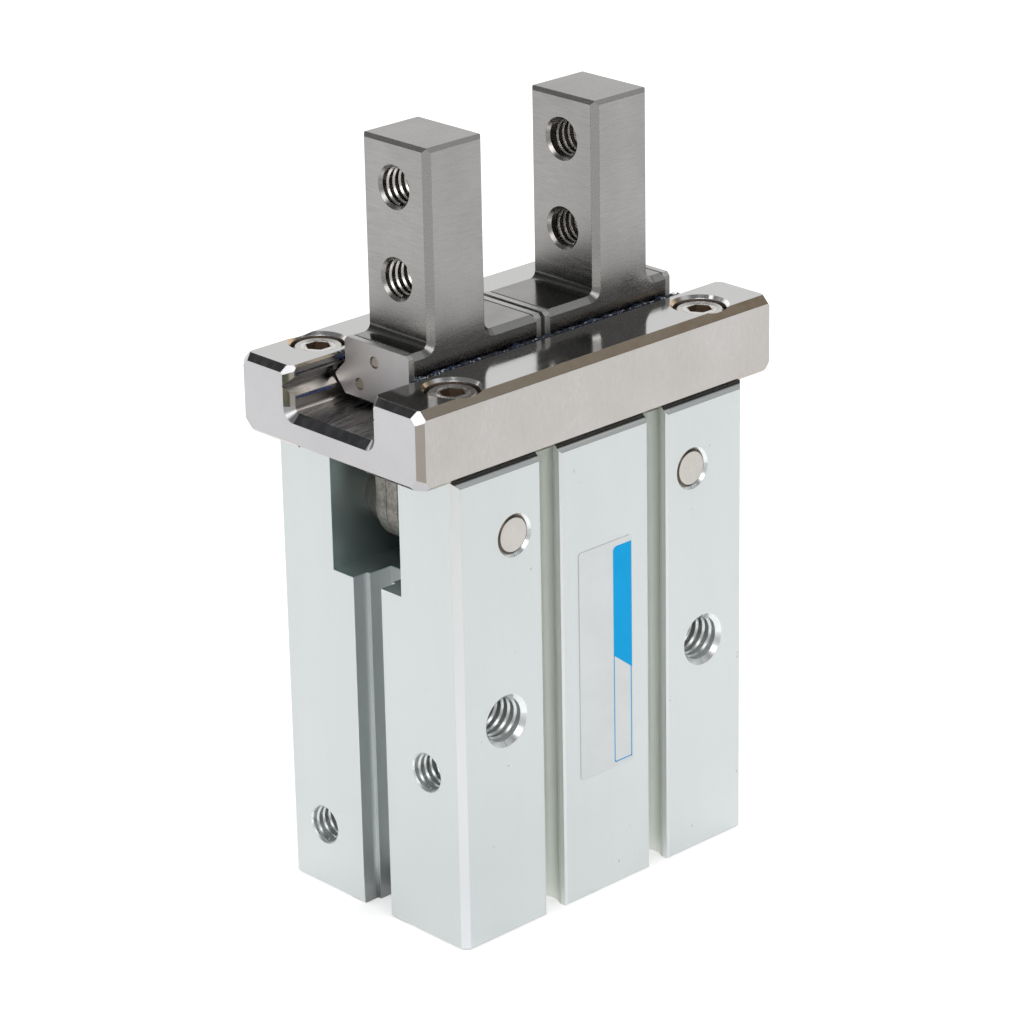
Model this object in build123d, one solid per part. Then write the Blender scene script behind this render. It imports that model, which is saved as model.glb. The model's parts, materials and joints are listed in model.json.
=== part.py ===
"""Parallel gripper: one pneumatic piston turns two bell-crank levers that slide two fingers apart.

Frame: millimetres, X along the finger travel, Y across the depth, Z up from the mounting face.
The part is modelled with its fingers closed and the piston down on its lower bumper.
"""
import math
import os

from build123d import *

# Housing block
BODY_WIDTH = 52.0
BODY_DEPTH = 34.0
BODY_HEIGHT = 65.0
BODY_EDGE_CHAMFER = 0.9
BODY_TOP_CHAMFER = 1.1
BODY_BOTTOM_CHAMFER = 0.3

# Sensor grooves in the two wide faces
GROOVE_X = 9.6
GROOVE_RADIUS = 2.25
GROOVE_CENTRE_DEPTH = 2.8
GROOVE_MOUTH = 3.4
GROOVE_LIP = 0.3

# Stepped slots and lever windows in the two narrow faces
SIDE_SLOT_MOUTH = 5.35
SIDE_SLOT_STEP_DEPTH = 2.4
SIDE_SLOT_WIDTH = 4.3
SIDE_SLOT_DEPTH = 6.0
WINDOW_WIDTH = 13.0
WINDOW_HEIGHT = 18.2
HEAD_POCKET_X = 8.2
HEAD_POCKET_UNDER_PIVOT = 10.9

# Levers and their pins
LEVER_PIVOT_X = 16.05
LEVER_PIVOT_UNDER_TOP = 9.75
LEVER_PIN_RADIUS = 2.5
LEVER_PIN_RECESS = 0.2
LEVER_PIN_CHAMFER = 0.4
LEVER_PIN_END_CHAMFER = 0.25
LEVER_UP = 16.7
LEVER_TIP_RADIUS = 2.6
LEVER_HUB_RADIUS = 5.4
LEVER_THICKNESS = 6.0
LEVER_ARM_HALF = 3.7
LEVER_NECK_HALF = 2.1
LEVER_ARM_END = 15.1
LEVER_SLOT_START = 0.4
SPACER_RADIUS = 4.2

# Running clearances, each on one side
PIVOT_CLEARANCE = 0.04
SLOT_CLEARANCE = 0.05
SIDE_CLEARANCE = 0.08
ROD_CLEARANCE = 0.03
BORE_CLEARANCE = 0.08
SEAL_CLEARANCE = 0.02
RACE_CLEARANCE = 0.03

# Cylinder
BORE_RADIUS = 12.5
BORE_TOP_Z = 26.0
CAP_RADIUS = 13.0
CAP_BOTTOM_Z = 2.8
CAP_TOP_Z = 6.4
CAP_CHAMFER = 0.3
CAP_DIMPLE_RADIUS = 3.0
CAP_DIMPLE_DEPTH = 0.8
CAP_SEAL_SECTION = 1.8
RING_THICKNESS = 1.2
RING_GROOVE_RADIUS = 13.9
RING_WIDTH = 2.2
RING_EAR_IN = 2.2
RING_EAR_RADIUS = 1.8
RING_EYE_RADIUS = 0.7
RING_EAR_ANGLE = 14.0
RING_GAP_HALF = 1.4
BUMPER_HEIGHT = 2.0
PISTON_HEIGHT = 10.6
PISTON_CHAMFER = 1.5
PISTON_TOP_CHAMFER = 0.8
WEAR_RING_UP = (1.9, 4.1)
WEAR_RING_SECTION = 1.2
WEAR_RING_SPLIT = 1.0
PISTON_SEAL_UP = (4.9, 7.1)
PISTON_SEAL_SECTION = 1.9
MAGNET_UP = (8.2, 9.8)
MAGNET_RADIUS = 10.0
NUT_RECESS_RADIUS = 6.0
NUT_FLATS = 10.0
NUT_HEIGHT = 3.2
NUT_SET_IN = 0.2
SPIGOT_SET_IN = 0.4
BUMPER_INNER = 6.4
BUMPER_OUTER = 9.0
ROD_RADIUS = 5.0
ROD_SPIGOT_RADIUS = 3.0
ROD_BORE_RADIUS = 5.2
BUSH_RADIUS = 6.5
SEAL_BOTTOM_Z = 28.0
BUSH_BOTTOM_Z = 31.0
BUSH_UNDER_POCKET = 1.9

# Fork head of the piston rod
CROSS_PIN_X = 4.5
CROSS_PIN_RADIUS = 2.0
HEAD_HALF_X = 7.2
HEAD_HALF_Y = 6.2
HEAD_FLOOR = 3.0
HEAD_DROP = 4.7
HEAD_RISE = 2.7
HEAD_CORNER = 2.0

# Guide rail
GUIDE_LENGTH = 63.0
GUIDE_HEIGHT = 10.4
GUIDE_CHAMFER = 1.0
GUIDE_END_CHAMFER = 0.85
GUIDE_FOOT_CHAMFER = 0.5
GUIDE_FACET = 1.65
GUIDE_FACET_LEAN = 1.4
CHANNEL_DEPTH = 6.1
CHANNEL_END_CHAMFER = 1.1
CHANNEL_CORNER = 0.7
CHANNEL_RIM_CHAMFER = 0.3
CHANNEL_FACET = 1.15
CHANNEL_PAST_RACE = 0.77
RACE_DROP = 2.7
RACE_WEB = 0.35
RELIEF_WIDTH = 12.7
RELIEF_DEPTH = 0.4
LEVER_SLOT_SPARE = 0.5
LEVER_SLOT_SIDE = 0.4

# Guide screws, M4 socket cap
SCREW_X = 22.0
SCREW_EDGE = 4.4
SCREW_RADIUS = 2.0
SCREW_HEAD_RADIUS = 3.25
SCREW_HEAD_HEIGHT = 4.0
SCREW_HEAD_CHAMFER = 0.3
SCREW_LENGTH = 14.0
SCREW_HEX = 3.0
SCREW_HEX_DEPTH = 2.2
SCREW_HOLE_RADIUS = 2.15
SCREW_BORE_RADIUS = 3.5
SCREW_BORE_DEPTH = 4.6
SCREW_BORE_CHAMFER = 0.42
SCREW_THREAD_DEPTH = 9.5

# Cross rollers
ROLLER_RADIUS = 1.4
ROLLER_LENGTH = 2.66
ROLLER_COUNT = 5
ROLLER_PITCH = 3.15
ROLLER_TO_PLATE = 0.6

# Fingers and their end plates
FINGER_TRAVEL = 7.0
FINGER_SHORT_OF_RACE = 0.63
FINGER_INNER_X = 9.55
FINGER_THICKNESS = 9.9
FINGER_HEIGHT = 28.5
FINGER_CHAMFER = 0.8
FINGER_TOP_CHAMFER = 0.5
FINGER_FILLET = 1.0
BASE_INNER_X = 0.35
BASE_OUTER_X = 23.2
BASE_ABOVE_GUIDE = 2.65
BASE_CLEAR_FLOOR = 1.0
BASE_END_CHAMFER = 0.3
PLATE_THICKNESS = 0.9
PLATE_SET_IN = 0.1
PLATE_FOOT_OUT = 0.15
PLATE_TIP_BACK = 0.82
PLATE_TIP_FLAT = 0.35
PLATE_TOP_CHAMFER = 0.5
PLATE_PIN_RADIUS = 0.65
PLATE_PIN_DEPTH = 3.4
PLATE_PIN_RECESS = 0.2
PLATE_PIN_CHAMFER = 0.15
PLATE_PIN_OFF_MIDDLE = 0.45
PLATE_PIN_SHORT_OF_RACE = 3.33
PLATE_PIN_FROM_RACE = (3.05, -0.5)
LEVER_SLOT_TOP = 5.0

# Threads are modelled at their major radius
FINGER_HOLE_RADIUS = 2.5
FINGER_HOLE_FROM_TOP = 6.0
FINGER_HOLE_PITCH = 12.0
FINGER_HOLE_CHAMFER = 0.4
FACE_THREAD_X = 18.05
FACE_THREAD_Z = 30.3
FACE_THREAD_RADIUS = 3.0
FACE_THREAD_DEPTH = 11.0
FACE_THREAD_CHAMFER = 0.6
BOTTOM_THREAD_X = 14.7
BOTTOM_THREAD_Y = 9.8
BOTTOM_THREAD_DEPTH = 12.0
DOWEL_RADIUS = 1.5
DOWEL_DEPTH = 4.0
PORT_RADIUS = 2.5
PORT_DEPTH = 6.5
PORT_Y = 10.3
PORT_LOW_Z = 9.0
PORT_HIGH_Z = 23.5
PORT_PASSAGE_RADIUS = 1.25
PORT_PASSAGE_END = 5.0
PORT_CHAMFER = 0.2
DRILL_TIP = 1.0

# Worked out from the above
WINDOW_FLOOR_Z = BODY_HEIGHT - WINDOW_HEIGHT
LEVER_PIVOT_Z = BODY_HEIGHT - LEVER_PIVOT_UNDER_TOP
HEAD_POCKET_Z = LEVER_PIVOT_Z - HEAD_POCKET_UNDER_PIVOT
BUSH_TOP_Z = HEAD_POCKET_Z - BUSH_UNDER_POCKET
GUIDE_TOP_Z = BODY_HEIGHT + GUIDE_HEIGHT
SCREW_Y = BODY_DEPTH / 2 - SCREW_EDGE
RACE_HALF_DIAGONAL = (ROLLER_RADIUS + RACE_CLEARANCE) * math.sqrt(2)
RACE_Y = SCREW_Y - SCREW_BORE_RADIUS - RACE_WEB - RACE_HALF_DIAGONAL
RACE_TIP_Y = RACE_Y + RACE_HALF_DIAGONAL
RACE_Z = GUIDE_TOP_Z - RACE_DROP
CHANNEL_HALF = RACE_Y + CHANNEL_PAST_RACE
FINGER_HALF = RACE_Y - FINGER_SHORT_OF_RACE
FINGER_TOP_Z = GUIDE_TOP_Z + FINGER_HEIGHT
PLATE_PIN_Y = (PLATE_PIN_OFF_MIDDLE, RACE_Y - PLATE_PIN_SHORT_OF_RACE)
PLATE_PIN_SEATS = [(y, RACE_Z + rise) for y, rise in zip(PLATE_PIN_Y, PLATE_PIN_FROM_RACE)]
PISTON_REST_Z = CAP_TOP_Z + BUMPER_HEIGHT
WEAR_RING_Z = [PISTON_REST_Z + rise for rise in WEAR_RING_UP]
PISTON_SEAL_Z = [PISTON_REST_Z + rise for rise in PISTON_SEAL_UP]
MAGNET_Z = [PISTON_REST_Z + rise for rise in MAGNET_UP]
CHANNEL_FLOOR_Z = GUIDE_TOP_Z - CHANNEL_DEPTH
BASE_TOP_Z = GUIDE_TOP_Z + BASE_ABOVE_GUIDE
BASE_BOTTOM_Z = CHANNEL_FLOOR_Z + BASE_CLEAR_FLOOR
SWING_HALF = math.degrees(math.asin(FINGER_TRAVEL / 2 / LEVER_UP))
ARM_TO_PIN = LEVER_PIVOT_X - CROSS_PIN_X
PISTON_STROKE = 2 * ARM_TO_PIN * math.tan(math.radians(SWING_HALF))
CROSS_PIN_Z = LEVER_PIVOT_Z - PISTON_STROKE / 2
PISTON_TOP_Z = PISTON_REST_Z + PISTON_HEIGHT
LEVER_SLOT_X = LEVER_PIVOT_X - FINGER_TRAVEL / 2
WALL = 1.0


def block(x0, x1, y0, y1, z0, z1):
    """A plain block between six limits."""
    shape = Box(x1 - x0, y1 - y0, z1 - z0)
    return Pos((x0 + x1) / 2, (y0 + y1) / 2, (z0 + z1) / 2) * shape


def disc(radius, z0, z1, x=0.0, y=0.0):
    """A cylinder that stands between two heights."""
    return Pos(x, y, (z0 + z1) / 2) * Cylinder(radius, z1 - z0)


def ring(outer, inner, z0, z1):
    """A ring about the Z axis."""
    return disc(outer, z0, z1) - disc(inner, z0 - WALL, z1 + WALL)


def bar_x(radius, x0, x1, y, z):
    """A cylinder along X."""
    return Pos((x0 + x1) / 2, y, z) * Rot(0, 90, 0) * Cylinder(radius, x1 - x0)


def bar_y(radius, y0, y1, x, z):
    """A cylinder along Y."""
    return Pos(x, (y0 + y1) / 2, z) * Rot(90, 0, 0) * Cylinder(radius, y1 - y0)


def cone_x(radius, chamfer, x, y, z, way):
    """A countersink at a face across X; way is +1 where the hole runs towards +X."""
    shape = Cone(radius + chamfer, radius, chamfer)
    return Pos(x + way * chamfer / 2, y, z) * Rot(0, 90 * way, 0) * shape


def cone_y(radius, chamfer, x, y, z, way):
    """A countersink at a face across Y; way is +1 where the hole runs towards +Y."""
    shape = Cone(radius + chamfer, radius, chamfer)
    return Pos(x, y + way * chamfer / 2, z) * Rot(-90 * way, 0, 0) * shape


def cone_z(radius, chamfer, x, y, z):
    """A countersink in a face that looks up."""
    return Pos(x, y, z - chamfer / 2) * Cone(radius, radius + chamfer, chamfer)


def beyond(point, outward, reach):
    """The block on the outer side of a slanted plane through a point."""
    plane = Plane(origin=point, z_dir=outward)
    return plane.location * Pos(0, 0, reach / 2) * Box(reach, reach, reach)


def one_solid(shape):
    """The single solid of a finished piece."""
    solids = shape.solids()
    assert len(solids) == 1, "a piece came out as {} solids".format(len(solids))
    return solids[0]


def mirrored(shape):
    """The same piece on the other side of the middle plane."""
    return mirror(shape, about=Plane.YZ)


def make_sensor_groove(x, face):
    """One round groove with a narrower mouth, over the full height; face is -1 or +1."""
    wall_y = face * BODY_DEPTH / 2
    centre_y = wall_y - face * GROOVE_CENTRE_DEPTH
    pocket = disc(GROOVE_RADIUS, -WALL, BODY_HEIGHT + WALL, x, centre_y)
    low, high = sorted((centre_y, wall_y + face * WALL))
    half = GROOVE_MOUTH / 2
    mouth = block(x - half, x + half, low, high, -WALL, BODY_HEIGHT + WALL)
    lip = half + GROOVE_LIP
    corners = [
        (x - lip, wall_y),
        (x + lip, wall_y),
        (x + half, wall_y - face * GROOVE_LIP),
        (x - half, wall_y - face * GROOVE_LIP),
    ]
    flare = Pos(0, 0, -WALL) * make_face(Polyline(*corners, close=True))
    return pocket + mouth + extrude(flare, BODY_HEIGHT + 2 * WALL)


def make_side_slot(side):
    """The stepped slot in one narrow face, from the mounting face up to the window."""
    wall_x = BODY_WIDTH / 2
    mouth = SIDE_SLOT_MOUTH / 2
    inner = SIDE_SLOT_WIDTH / 2
    top = WINDOW_FLOOR_Z + WALL
    wide = block(wall_x - SIDE_SLOT_STEP_DEPTH, wall_x + WALL, -mouth, mouth, -WALL, top)
    deep = block(wall_x - SIDE_SLOT_DEPTH, wall_x + WALL, -inner, inner, -WALL, top)
    slot = wide + deep
    return slot if side > 0 else mirrored(slot)


def make_face_thread(x, face):
    """A threaded hole in a wide face, with its countersink and drill tip."""
    wall_y = face * BODY_DEPTH / 2
    floor_y = wall_y - face * FACE_THREAD_DEPTH
    low, high = sorted((floor_y, wall_y))
    hole = bar_y(FACE_THREAD_RADIUS, low, high, x, FACE_THREAD_Z)
    hole += cone_y(FACE_THREAD_RADIUS, FACE_THREAD_CHAMFER, x, wall_y, FACE_THREAD_Z, -face)
    tip = Cone(FACE_THREAD_RADIUS, FACE_THREAD_RADIUS / 2, DRILL_TIP)
    hole += Pos(x, floor_y - face * DRILL_TIP / 2, FACE_THREAD_Z) * Rot(90 * face, 0, 0) * tip
    return hole


def make_port(y, z):
    """One air port in the left narrow face, with the passage to the bore."""
    wall_x = -BODY_WIDTH / 2
    port = bar_x(PORT_RADIUS, wall_x, wall_x + PORT_DEPTH, y, z)
    port += cone_x(PORT_RADIUS, PORT_CHAMFER, wall_x, y, z, 1)
    port += bar_x(PORT_PASSAGE_RADIUS, wall_x + PORT_DEPTH - WALL, -PORT_PASSAGE_END, y, z)
    return port


def make_housing():
    """The extruded body with its cylinder, lever room, slots, threads and ports."""
    half_x = BODY_WIDTH / 2
    half_y = BODY_DEPTH / 2
    body = block(-half_x, half_x, -half_y, half_y, 0, BODY_HEIGHT)
    body = chamfer(body.edges().filter_by(Axis.Z), BODY_EDGE_CHAMFER)
    top = body.faces().sort_by(Axis.Z)[-1]
    long_edges = [edge for edge in top.edges() if edge.length > BODY_DEPTH]
    body = chamfer(long_edges, BODY_TOP_CHAMFER)
    body = chamfer(body.faces().sort_by(Axis.Z)[0].edges(), BODY_BOTTOM_CHAMFER)
    for face in (-1, 1):
        for side in (-1, 1):
            body -= make_sensor_groove(side * GROOVE_X, face)
            body -= make_face_thread(side * FACE_THREAD_X, face)
            wall_y = face * half_y
            x = side * LEVER_PIVOT_X
            body -= cone_y(LEVER_PIN_RADIUS, LEVER_PIN_CHAMFER, x, wall_y, LEVER_PIVOT_Z, -face)
            x = side * SCREW_X
            y = face * SCREW_Y
            body -= disc(SCREW_RADIUS, BODY_HEIGHT - SCREW_THREAD_DEPTH, BODY_HEIGHT + WALL, x, y)
    for side in (-1, 1):
        body -= make_side_slot(side)
        body -= bar_y(LEVER_PIN_RADIUS, -half_y, half_y, side * LEVER_PIVOT_X, LEVER_PIVOT_Z)
        x = side * BOTTOM_THREAD_X
        y = side * BOTTOM_THREAD_Y
        body -= disc(FACE_THREAD_RADIUS, -WALL, BOTTOM_THREAD_DEPTH, x, y)
        body -= disc(DOWEL_RADIUS, -WALL, DOWEL_DEPTH, x, -y)
    half = WINDOW_WIDTH / 2
    top = BODY_HEIGHT + WALL
    body -= block(-half_x - WALL, half_x + WALL, -half, half, WINDOW_FLOOR_Z, top)
    body -= block(-HEAD_POCKET_X, HEAD_POCKET_X, -half, half, HEAD_POCKET_Z, top)
    body -= disc(CAP_RADIUS, -WALL, CAP_TOP_Z)
    body -= disc(RING_GROOVE_RADIUS, CAP_BOTTOM_Z - RING_THICKNESS, CAP_BOTTOM_Z)
    body -= disc(BORE_RADIUS, CAP_TOP_Z - WALL, BORE_TOP_Z)
    body -= disc(ROD_BORE_RADIUS, BORE_TOP_Z - WALL, SEAL_BOTTOM_Z + WALL)
    body -= disc(BUSH_RADIUS, SEAL_BOTTOM_Z, HEAD_POCKET_Z + WALL)
    body -= make_port(PORT_Y, PORT_LOW_Z)
    body -= make_port(-PORT_Y, PORT_HIGH_Z)
    return one_solid(body)


def along_rail(outline):
    """A cutter that carries a Y and Z outline past both ends of the rail."""
    length = GUIDE_LENGTH + 2 * WALL
    return Pos(-length / 2, 0, 0) * extrude(Plane.YZ * outline, length)


def make_channel():
    """The finger channel, with its lower corners rounded."""
    middle_z = (CHANNEL_FLOOR_Z + GUIDE_TOP_Z + WALL) / 2
    outline = Pos(0, middle_z) * Rectangle(2 * CHANNEL_HALF, CHANNEL_DEPTH + WALL)
    return along_rail(fillet(outline.vertices().sort_by(Axis.Y)[:2], CHANNEL_CORNER))


def make_raceway(face):
    """The V raceway in one wall of the channel; face is -1 or +1."""
    inner = CHANNEL_HALF - WALL
    step = RACE_TIP_Y - inner
    corners = [(face * inner, RACE_Z - step), (face * RACE_TIP_Y, RACE_Z), (face * inner, RACE_Z + step)]
    return along_rail(make_face(Polyline(*corners, close=True)))


def make_guide_blank():
    """The rail's block with every outer edge bevelled and a small facet on every corner."""
    half_x = GUIDE_LENGTH / 2
    half_y = BODY_DEPTH / 2
    reach = 3 * GUIDE_LENGTH
    blank = block(-half_x, half_x, -half_y, half_y, BODY_HEIGHT, GUIDE_TOP_Z)
    blank = chamfer(blank.edges().filter_by(Axis.Z), GUIDE_END_CHAMFER)
    levels = [
        (1, GUIDE_TOP_Z, GUIDE_END_CHAMFER, GUIDE_CHAMFER),
        (-1, BODY_HEIGHT, GUIDE_FOOT_CHAMFER, GUIDE_FOOT_CHAMFER),
    ]
    for way, z, end_bevel, long_bevel in levels:
        for side in (-1, 1):
            blank -= beyond((side * (half_x - end_bevel), 0, z), (side, 0, way), reach)
            blank -= beyond((0, side * (half_y - long_bevel), z), (0, side, way), reach)
            for face in (-1, 1):
                corner = (side * half_x, face * (half_y - GUIDE_END_CHAMFER), z - way * GUIDE_FACET)
                blank -= beyond(corner, (side * GUIDE_FACET_LEAN, face, way), reach)
    return blank


def make_guide_rail():
    """The rail that carries both fingers: the blank with its channel, relief and screw holes."""
    half_x = GUIDE_LENGTH / 2
    rail = make_guide_blank()
    rail -= make_channel()
    end_edges = []
    for end in (0, -1):
        for edge in rail.faces().sort_by(Axis.X)[end].edges():
            centre = edge.center()
            low = centre.Z > BODY_HEIGHT + 2 * WALL
            high = centre.Z < GUIDE_TOP_Z - GUIDE_END_CHAMFER
            if low and high and abs(centre.Y) < RACE_TIP_Y:
                end_edges.append(edge)
    rail = chamfer(end_edges, CHANNEL_END_CHAMFER)
    rims = []
    for edge in rail.edges().filter_by(Axis.X):
        centre = edge.center()
        if abs(centre.Z - GUIDE_TOP_Z) < 0.01 and abs(abs(centre.Y) - CHANNEL_HALF) < 0.01:
            rims.append(edge)
    rail = chamfer(rims, CHANNEL_RIM_CHAMFER)
    for face in (-1, 1):
        rail -= make_raceway(face)
    half = RELIEF_WIDTH / 2
    low = BODY_HEIGHT - WALL
    rail -= block(-half_x - WALL, half_x + WALL, -half, half, low, BODY_HEIGHT + RELIEF_DEPTH)
    swing = (CHANNEL_FLOOR_Z - LEVER_PIVOT_Z) * math.tan(math.radians(SWING_HALF))
    reach = swing + LEVER_NECK_HALF + LEVER_SLOT_SPARE
    half = LEVER_THICKNESS / 2 + LEVER_SLOT_SIDE
    for side in (-1, 1):
        x = side * LEVER_PIVOT_X
        rail -= block(x - reach, x + reach, -half, half, low, CHANNEL_FLOOR_Z + WALL)
        for face in (-1, 1):
            wall_y = face * (CHANNEL_HALF + CHANNEL_END_CHAMFER)
            corner = (side * half_x, wall_y, GUIDE_TOP_Z - CHANNEL_FACET)
            rail -= beyond(corner, (side * GUIDE_FACET_LEAN, -face, 1), GUIDE_HEIGHT / 2)
            x = side * SCREW_X
            y = face * SCREW_Y
            rail -= disc(SCREW_HOLE_RADIUS, low, GUIDE_TOP_Z, x, y)
            rail -= disc(SCREW_BORE_RADIUS, GUIDE_TOP_Z - SCREW_BORE_DEPTH, GUIDE_TOP_Z, x, y)
            rail -= cone_z(SCREW_BORE_RADIUS, SCREW_BORE_CHAMFER, x, y, GUIDE_TOP_Z)
    return one_solid(rail)


def make_screw(x, y):
    """One socket head screw, seated in its counterbore."""
    seat = GUIDE_TOP_Z - SCREW_BORE_DEPTH
    top = seat + SCREW_HEAD_HEIGHT
    head = disc(SCREW_HEAD_RADIUS, seat, top, x, y)
    head = chamfer(head.edges().sort_by(Axis.Z)[-1], SCREW_HEAD_CHAMFER)
    hexagon = Pos(x, y, top - SCREW_HEX_DEPTH) * RegularPolygon(SCREW_HEX / math.sqrt(3), 6)
    socket = extrude(hexagon, SCREW_HEX_DEPTH + WALL)
    shank = disc(SCREW_RADIUS, seat - SCREW_LENGTH, seat, x, y)
    return one_solid(head + shank - socket)


def make_lever_pin(x):
    """The fixed pin that one lever turns on."""
    end = BODY_DEPTH / 2 - LEVER_PIN_RECESS
    pin = bar_y(LEVER_PIN_RADIUS, -end, end, x, LEVER_PIVOT_Z)
    return one_solid(chamfer(pin.edges().filter_by(GeomType.CIRCLE), LEVER_PIN_END_CHAMFER))


def make_spacer(x, face):
    """A ring between a lever and the wall of the lever room."""
    inner = face * (LEVER_THICKNESS / 2 + SIDE_CLEARANCE)
    outer = face * WINDOW_WIDTH / 2
    low, high = sorted((inner, outer))
    body = bar_y(SPACER_RADIUS, low, high, x, LEVER_PIVOT_Z)
    return one_solid(body - bar_y(LEVER_PIN_RADIUS, low - WALL, high + WALL, x, LEVER_PIVOT_Z))


def make_cap():
    """The disc that closes the cylinder from below, with a groove for its seal."""
    cap = disc(CAP_RADIUS, CAP_BOTTOM_Z, CAP_TOP_Z)
    cap = chamfer(cap.edges().sort_by(Axis.Z)[0], CAP_CHAMFER)
    middle = (CAP_BOTTOM_Z + CAP_TOP_Z) / 2
    half = CAP_SEAL_SECTION / 2
    cap -= ring(CAP_RADIUS + WALL, CAP_RADIUS - CAP_SEAL_SECTION, middle - half, middle + half)
    cap -= disc(CAP_DIMPLE_RADIUS, CAP_BOTTOM_Z - WALL, CAP_BOTTOM_Z + CAP_DIMPLE_DEPTH)
    return one_solid(cap)


def make_cap_seal():
    """The seal ring in the groove of the cap."""
    middle = (CAP_BOTTOM_Z + CAP_TOP_Z) / 2
    half = CAP_SEAL_SECTION / 2
    seal = ring(CAP_RADIUS, CAP_RADIUS - CAP_SEAL_SECTION, middle - half, middle + half)
    return one_solid(seal)


def make_retaining_ring():
    """The spring ring that holds the cap: an open ring with two eyed ears."""
    low = CAP_BOTTOM_Z - RING_THICKNESS
    body = ring(RING_GROOVE_RADIUS, RING_GROOVE_RADIUS - RING_WIDTH, low, CAP_BOTTOM_Z)
    ears = []
    for side in (-1, 1):
        angle = math.radians(90 + side * RING_EAR_ANGLE)
        x = (CAP_RADIUS - RING_EAR_IN) * math.cos(angle)
        y = (CAP_RADIUS - RING_EAR_IN) * math.sin(angle)
        ears.append((x, y))
        body += disc(RING_EAR_RADIUS, low, CAP_BOTTOM_Z, x, y)
    top = CAP_BOTTOM_Z + WALL
    body -= block(-RING_GAP_HALF, RING_GAP_HALF, 0, RING_GROOVE_RADIUS + WALL, low - WALL, top)
    for x, y in ears:
        body -= disc(RING_EYE_RADIUS, low - WALL, top, x, y)
    return one_solid(body)


def make_lower_bumper():
    """The rubber ring that the piston rests on."""
    bumper = ring(BUMPER_OUTER, BUMPER_INNER, CAP_TOP_Z, PISTON_REST_Z)
    return one_solid(bumper)


def make_upper_bumper():
    """The rubber ring that stops the piston at the top."""
    bumper = ring(BUMPER_OUTER, BUMPER_INNER, PISTON_TOP_Z + PISTON_STROKE, BORE_TOP_Z)
    return one_solid(bumper)


def make_rod_seal():
    """The lip seal round the rod."""
    seal = ring(BUSH_RADIUS, ROD_RADIUS + SEAL_CLEARANCE, SEAL_BOTTOM_Z, BUSH_BOTTOM_Z)
    return one_solid(seal)


def make_rod_bush():
    """The plain bearing that guides the rod."""
    bush = ring(BUSH_RADIUS, ROD_RADIUS + ROD_CLEARANCE, BUSH_BOTTOM_Z, BUSH_TOP_Z)
    return one_solid(bush)


def make_piston():
    """The piston with its grooves, magnet recess and nut recess."""
    radius = BORE_RADIUS - BORE_CLEARANCE
    body = disc(radius, PISTON_REST_Z, PISTON_TOP_Z)
    body = chamfer(body.edges().sort_by(Axis.Z)[0], PISTON_CHAMFER)
    body = chamfer(body.edges().sort_by(Axis.Z)[-1], PISTON_TOP_CHAMFER)
    body -= ring(radius + WALL, radius - WEAR_RING_SECTION, *WEAR_RING_Z)
    body -= ring(radius + WALL, radius - PISTON_SEAL_SECTION, *PISTON_SEAL_Z)
    body -= disc(MAGNET_RADIUS, MAGNET_Z[0], PISTON_TOP_Z + WALL)
    low = PISTON_REST_Z - WALL
    body -= disc(ROD_SPIGOT_RADIUS, low, PISTON_TOP_Z + WALL)
    body -= disc(NUT_RECESS_RADIUS, low, PISTON_REST_Z + NUT_HEIGHT + NUT_SET_IN)
    return one_solid(body)


def make_wear_ring():
    """The split guide ring on the piston."""
    radius = BORE_RADIUS - BORE_CLEARANCE
    low, high = WEAR_RING_Z
    body = ring(BORE_RADIUS - ROD_CLEARANCE, radius - WEAR_RING_SECTION, low, high)
    half = WEAR_RING_SPLIT / 2
    body -= block(-half, half, 0, BORE_RADIUS + WALL, low - WALL, high + WALL)
    return one_solid(body)


def make_piston_seal():
    """The rubber seal on the piston."""
    radius = BORE_RADIUS - BORE_CLEARANCE
    body = ring(BORE_RADIUS - SEAL_CLEARANCE, radius - PISTON_SEAL_SECTION, *PISTON_SEAL_Z)
    return one_solid(body)


def make_magnet():
    """The ring magnet that the position sensors read."""
    return one_solid(ring(MAGNET_RADIUS, ROD_SPIGOT_RADIUS, *MAGNET_Z))


def make_magnet_cover():
    """The washer that the rod's shoulder clamps over the magnet."""
    return one_solid(ring(MAGNET_RADIUS, ROD_SPIGOT_RADIUS, MAGNET_Z[1], PISTON_TOP_Z))


def make_piston_nut():
    """The nut that holds the piston on the rod."""
    low = PISTON_REST_Z + NUT_SET_IN
    flat = extrude(Pos(0, 0, low) * RegularPolygon(NUT_FLATS / math.sqrt(3), 6), NUT_HEIGHT)
    flat -= disc(ROD_SPIGOT_RADIUS, low - WALL, low + NUT_HEIGHT + WALL)
    return one_solid(flat)


def make_piston_rod():
    """The rod, its spigot through the piston and the fork head for both levers."""
    floor_top = CROSS_PIN_Z - HEAD_DROP
    floor_bottom = floor_top - HEAD_FLOOR
    top = CROSS_PIN_Z + HEAD_RISE
    head = block(-HEAD_HALF_X, HEAD_HALF_X, -HEAD_HALF_Y, HEAD_HALF_Y, floor_bottom, top)
    head = fillet(head.edges().filter_by(Axis.Y).sort_by(Axis.Z)[-2:], HEAD_CORNER)
    gap = LEVER_THICKNESS / 2 + SIDE_CLEARANCE
    head -= block(-HEAD_HALF_X - WALL, HEAD_HALF_X + WALL, -gap, gap, floor_top, top + WALL)
    for side in (-1, 1):
        head -= bar_y(CROSS_PIN_RADIUS, -HEAD_HALF_Y, HEAD_HALF_Y, side * CROSS_PIN_X, CROSS_PIN_Z)
    rod = disc(ROD_RADIUS, PISTON_TOP_Z, floor_bottom)
    spigot = disc(ROD_SPIGOT_RADIUS, PISTON_REST_Z + SPIGOT_SET_IN, PISTON_TOP_Z)
    return one_solid(head + rod + spigot)


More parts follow.
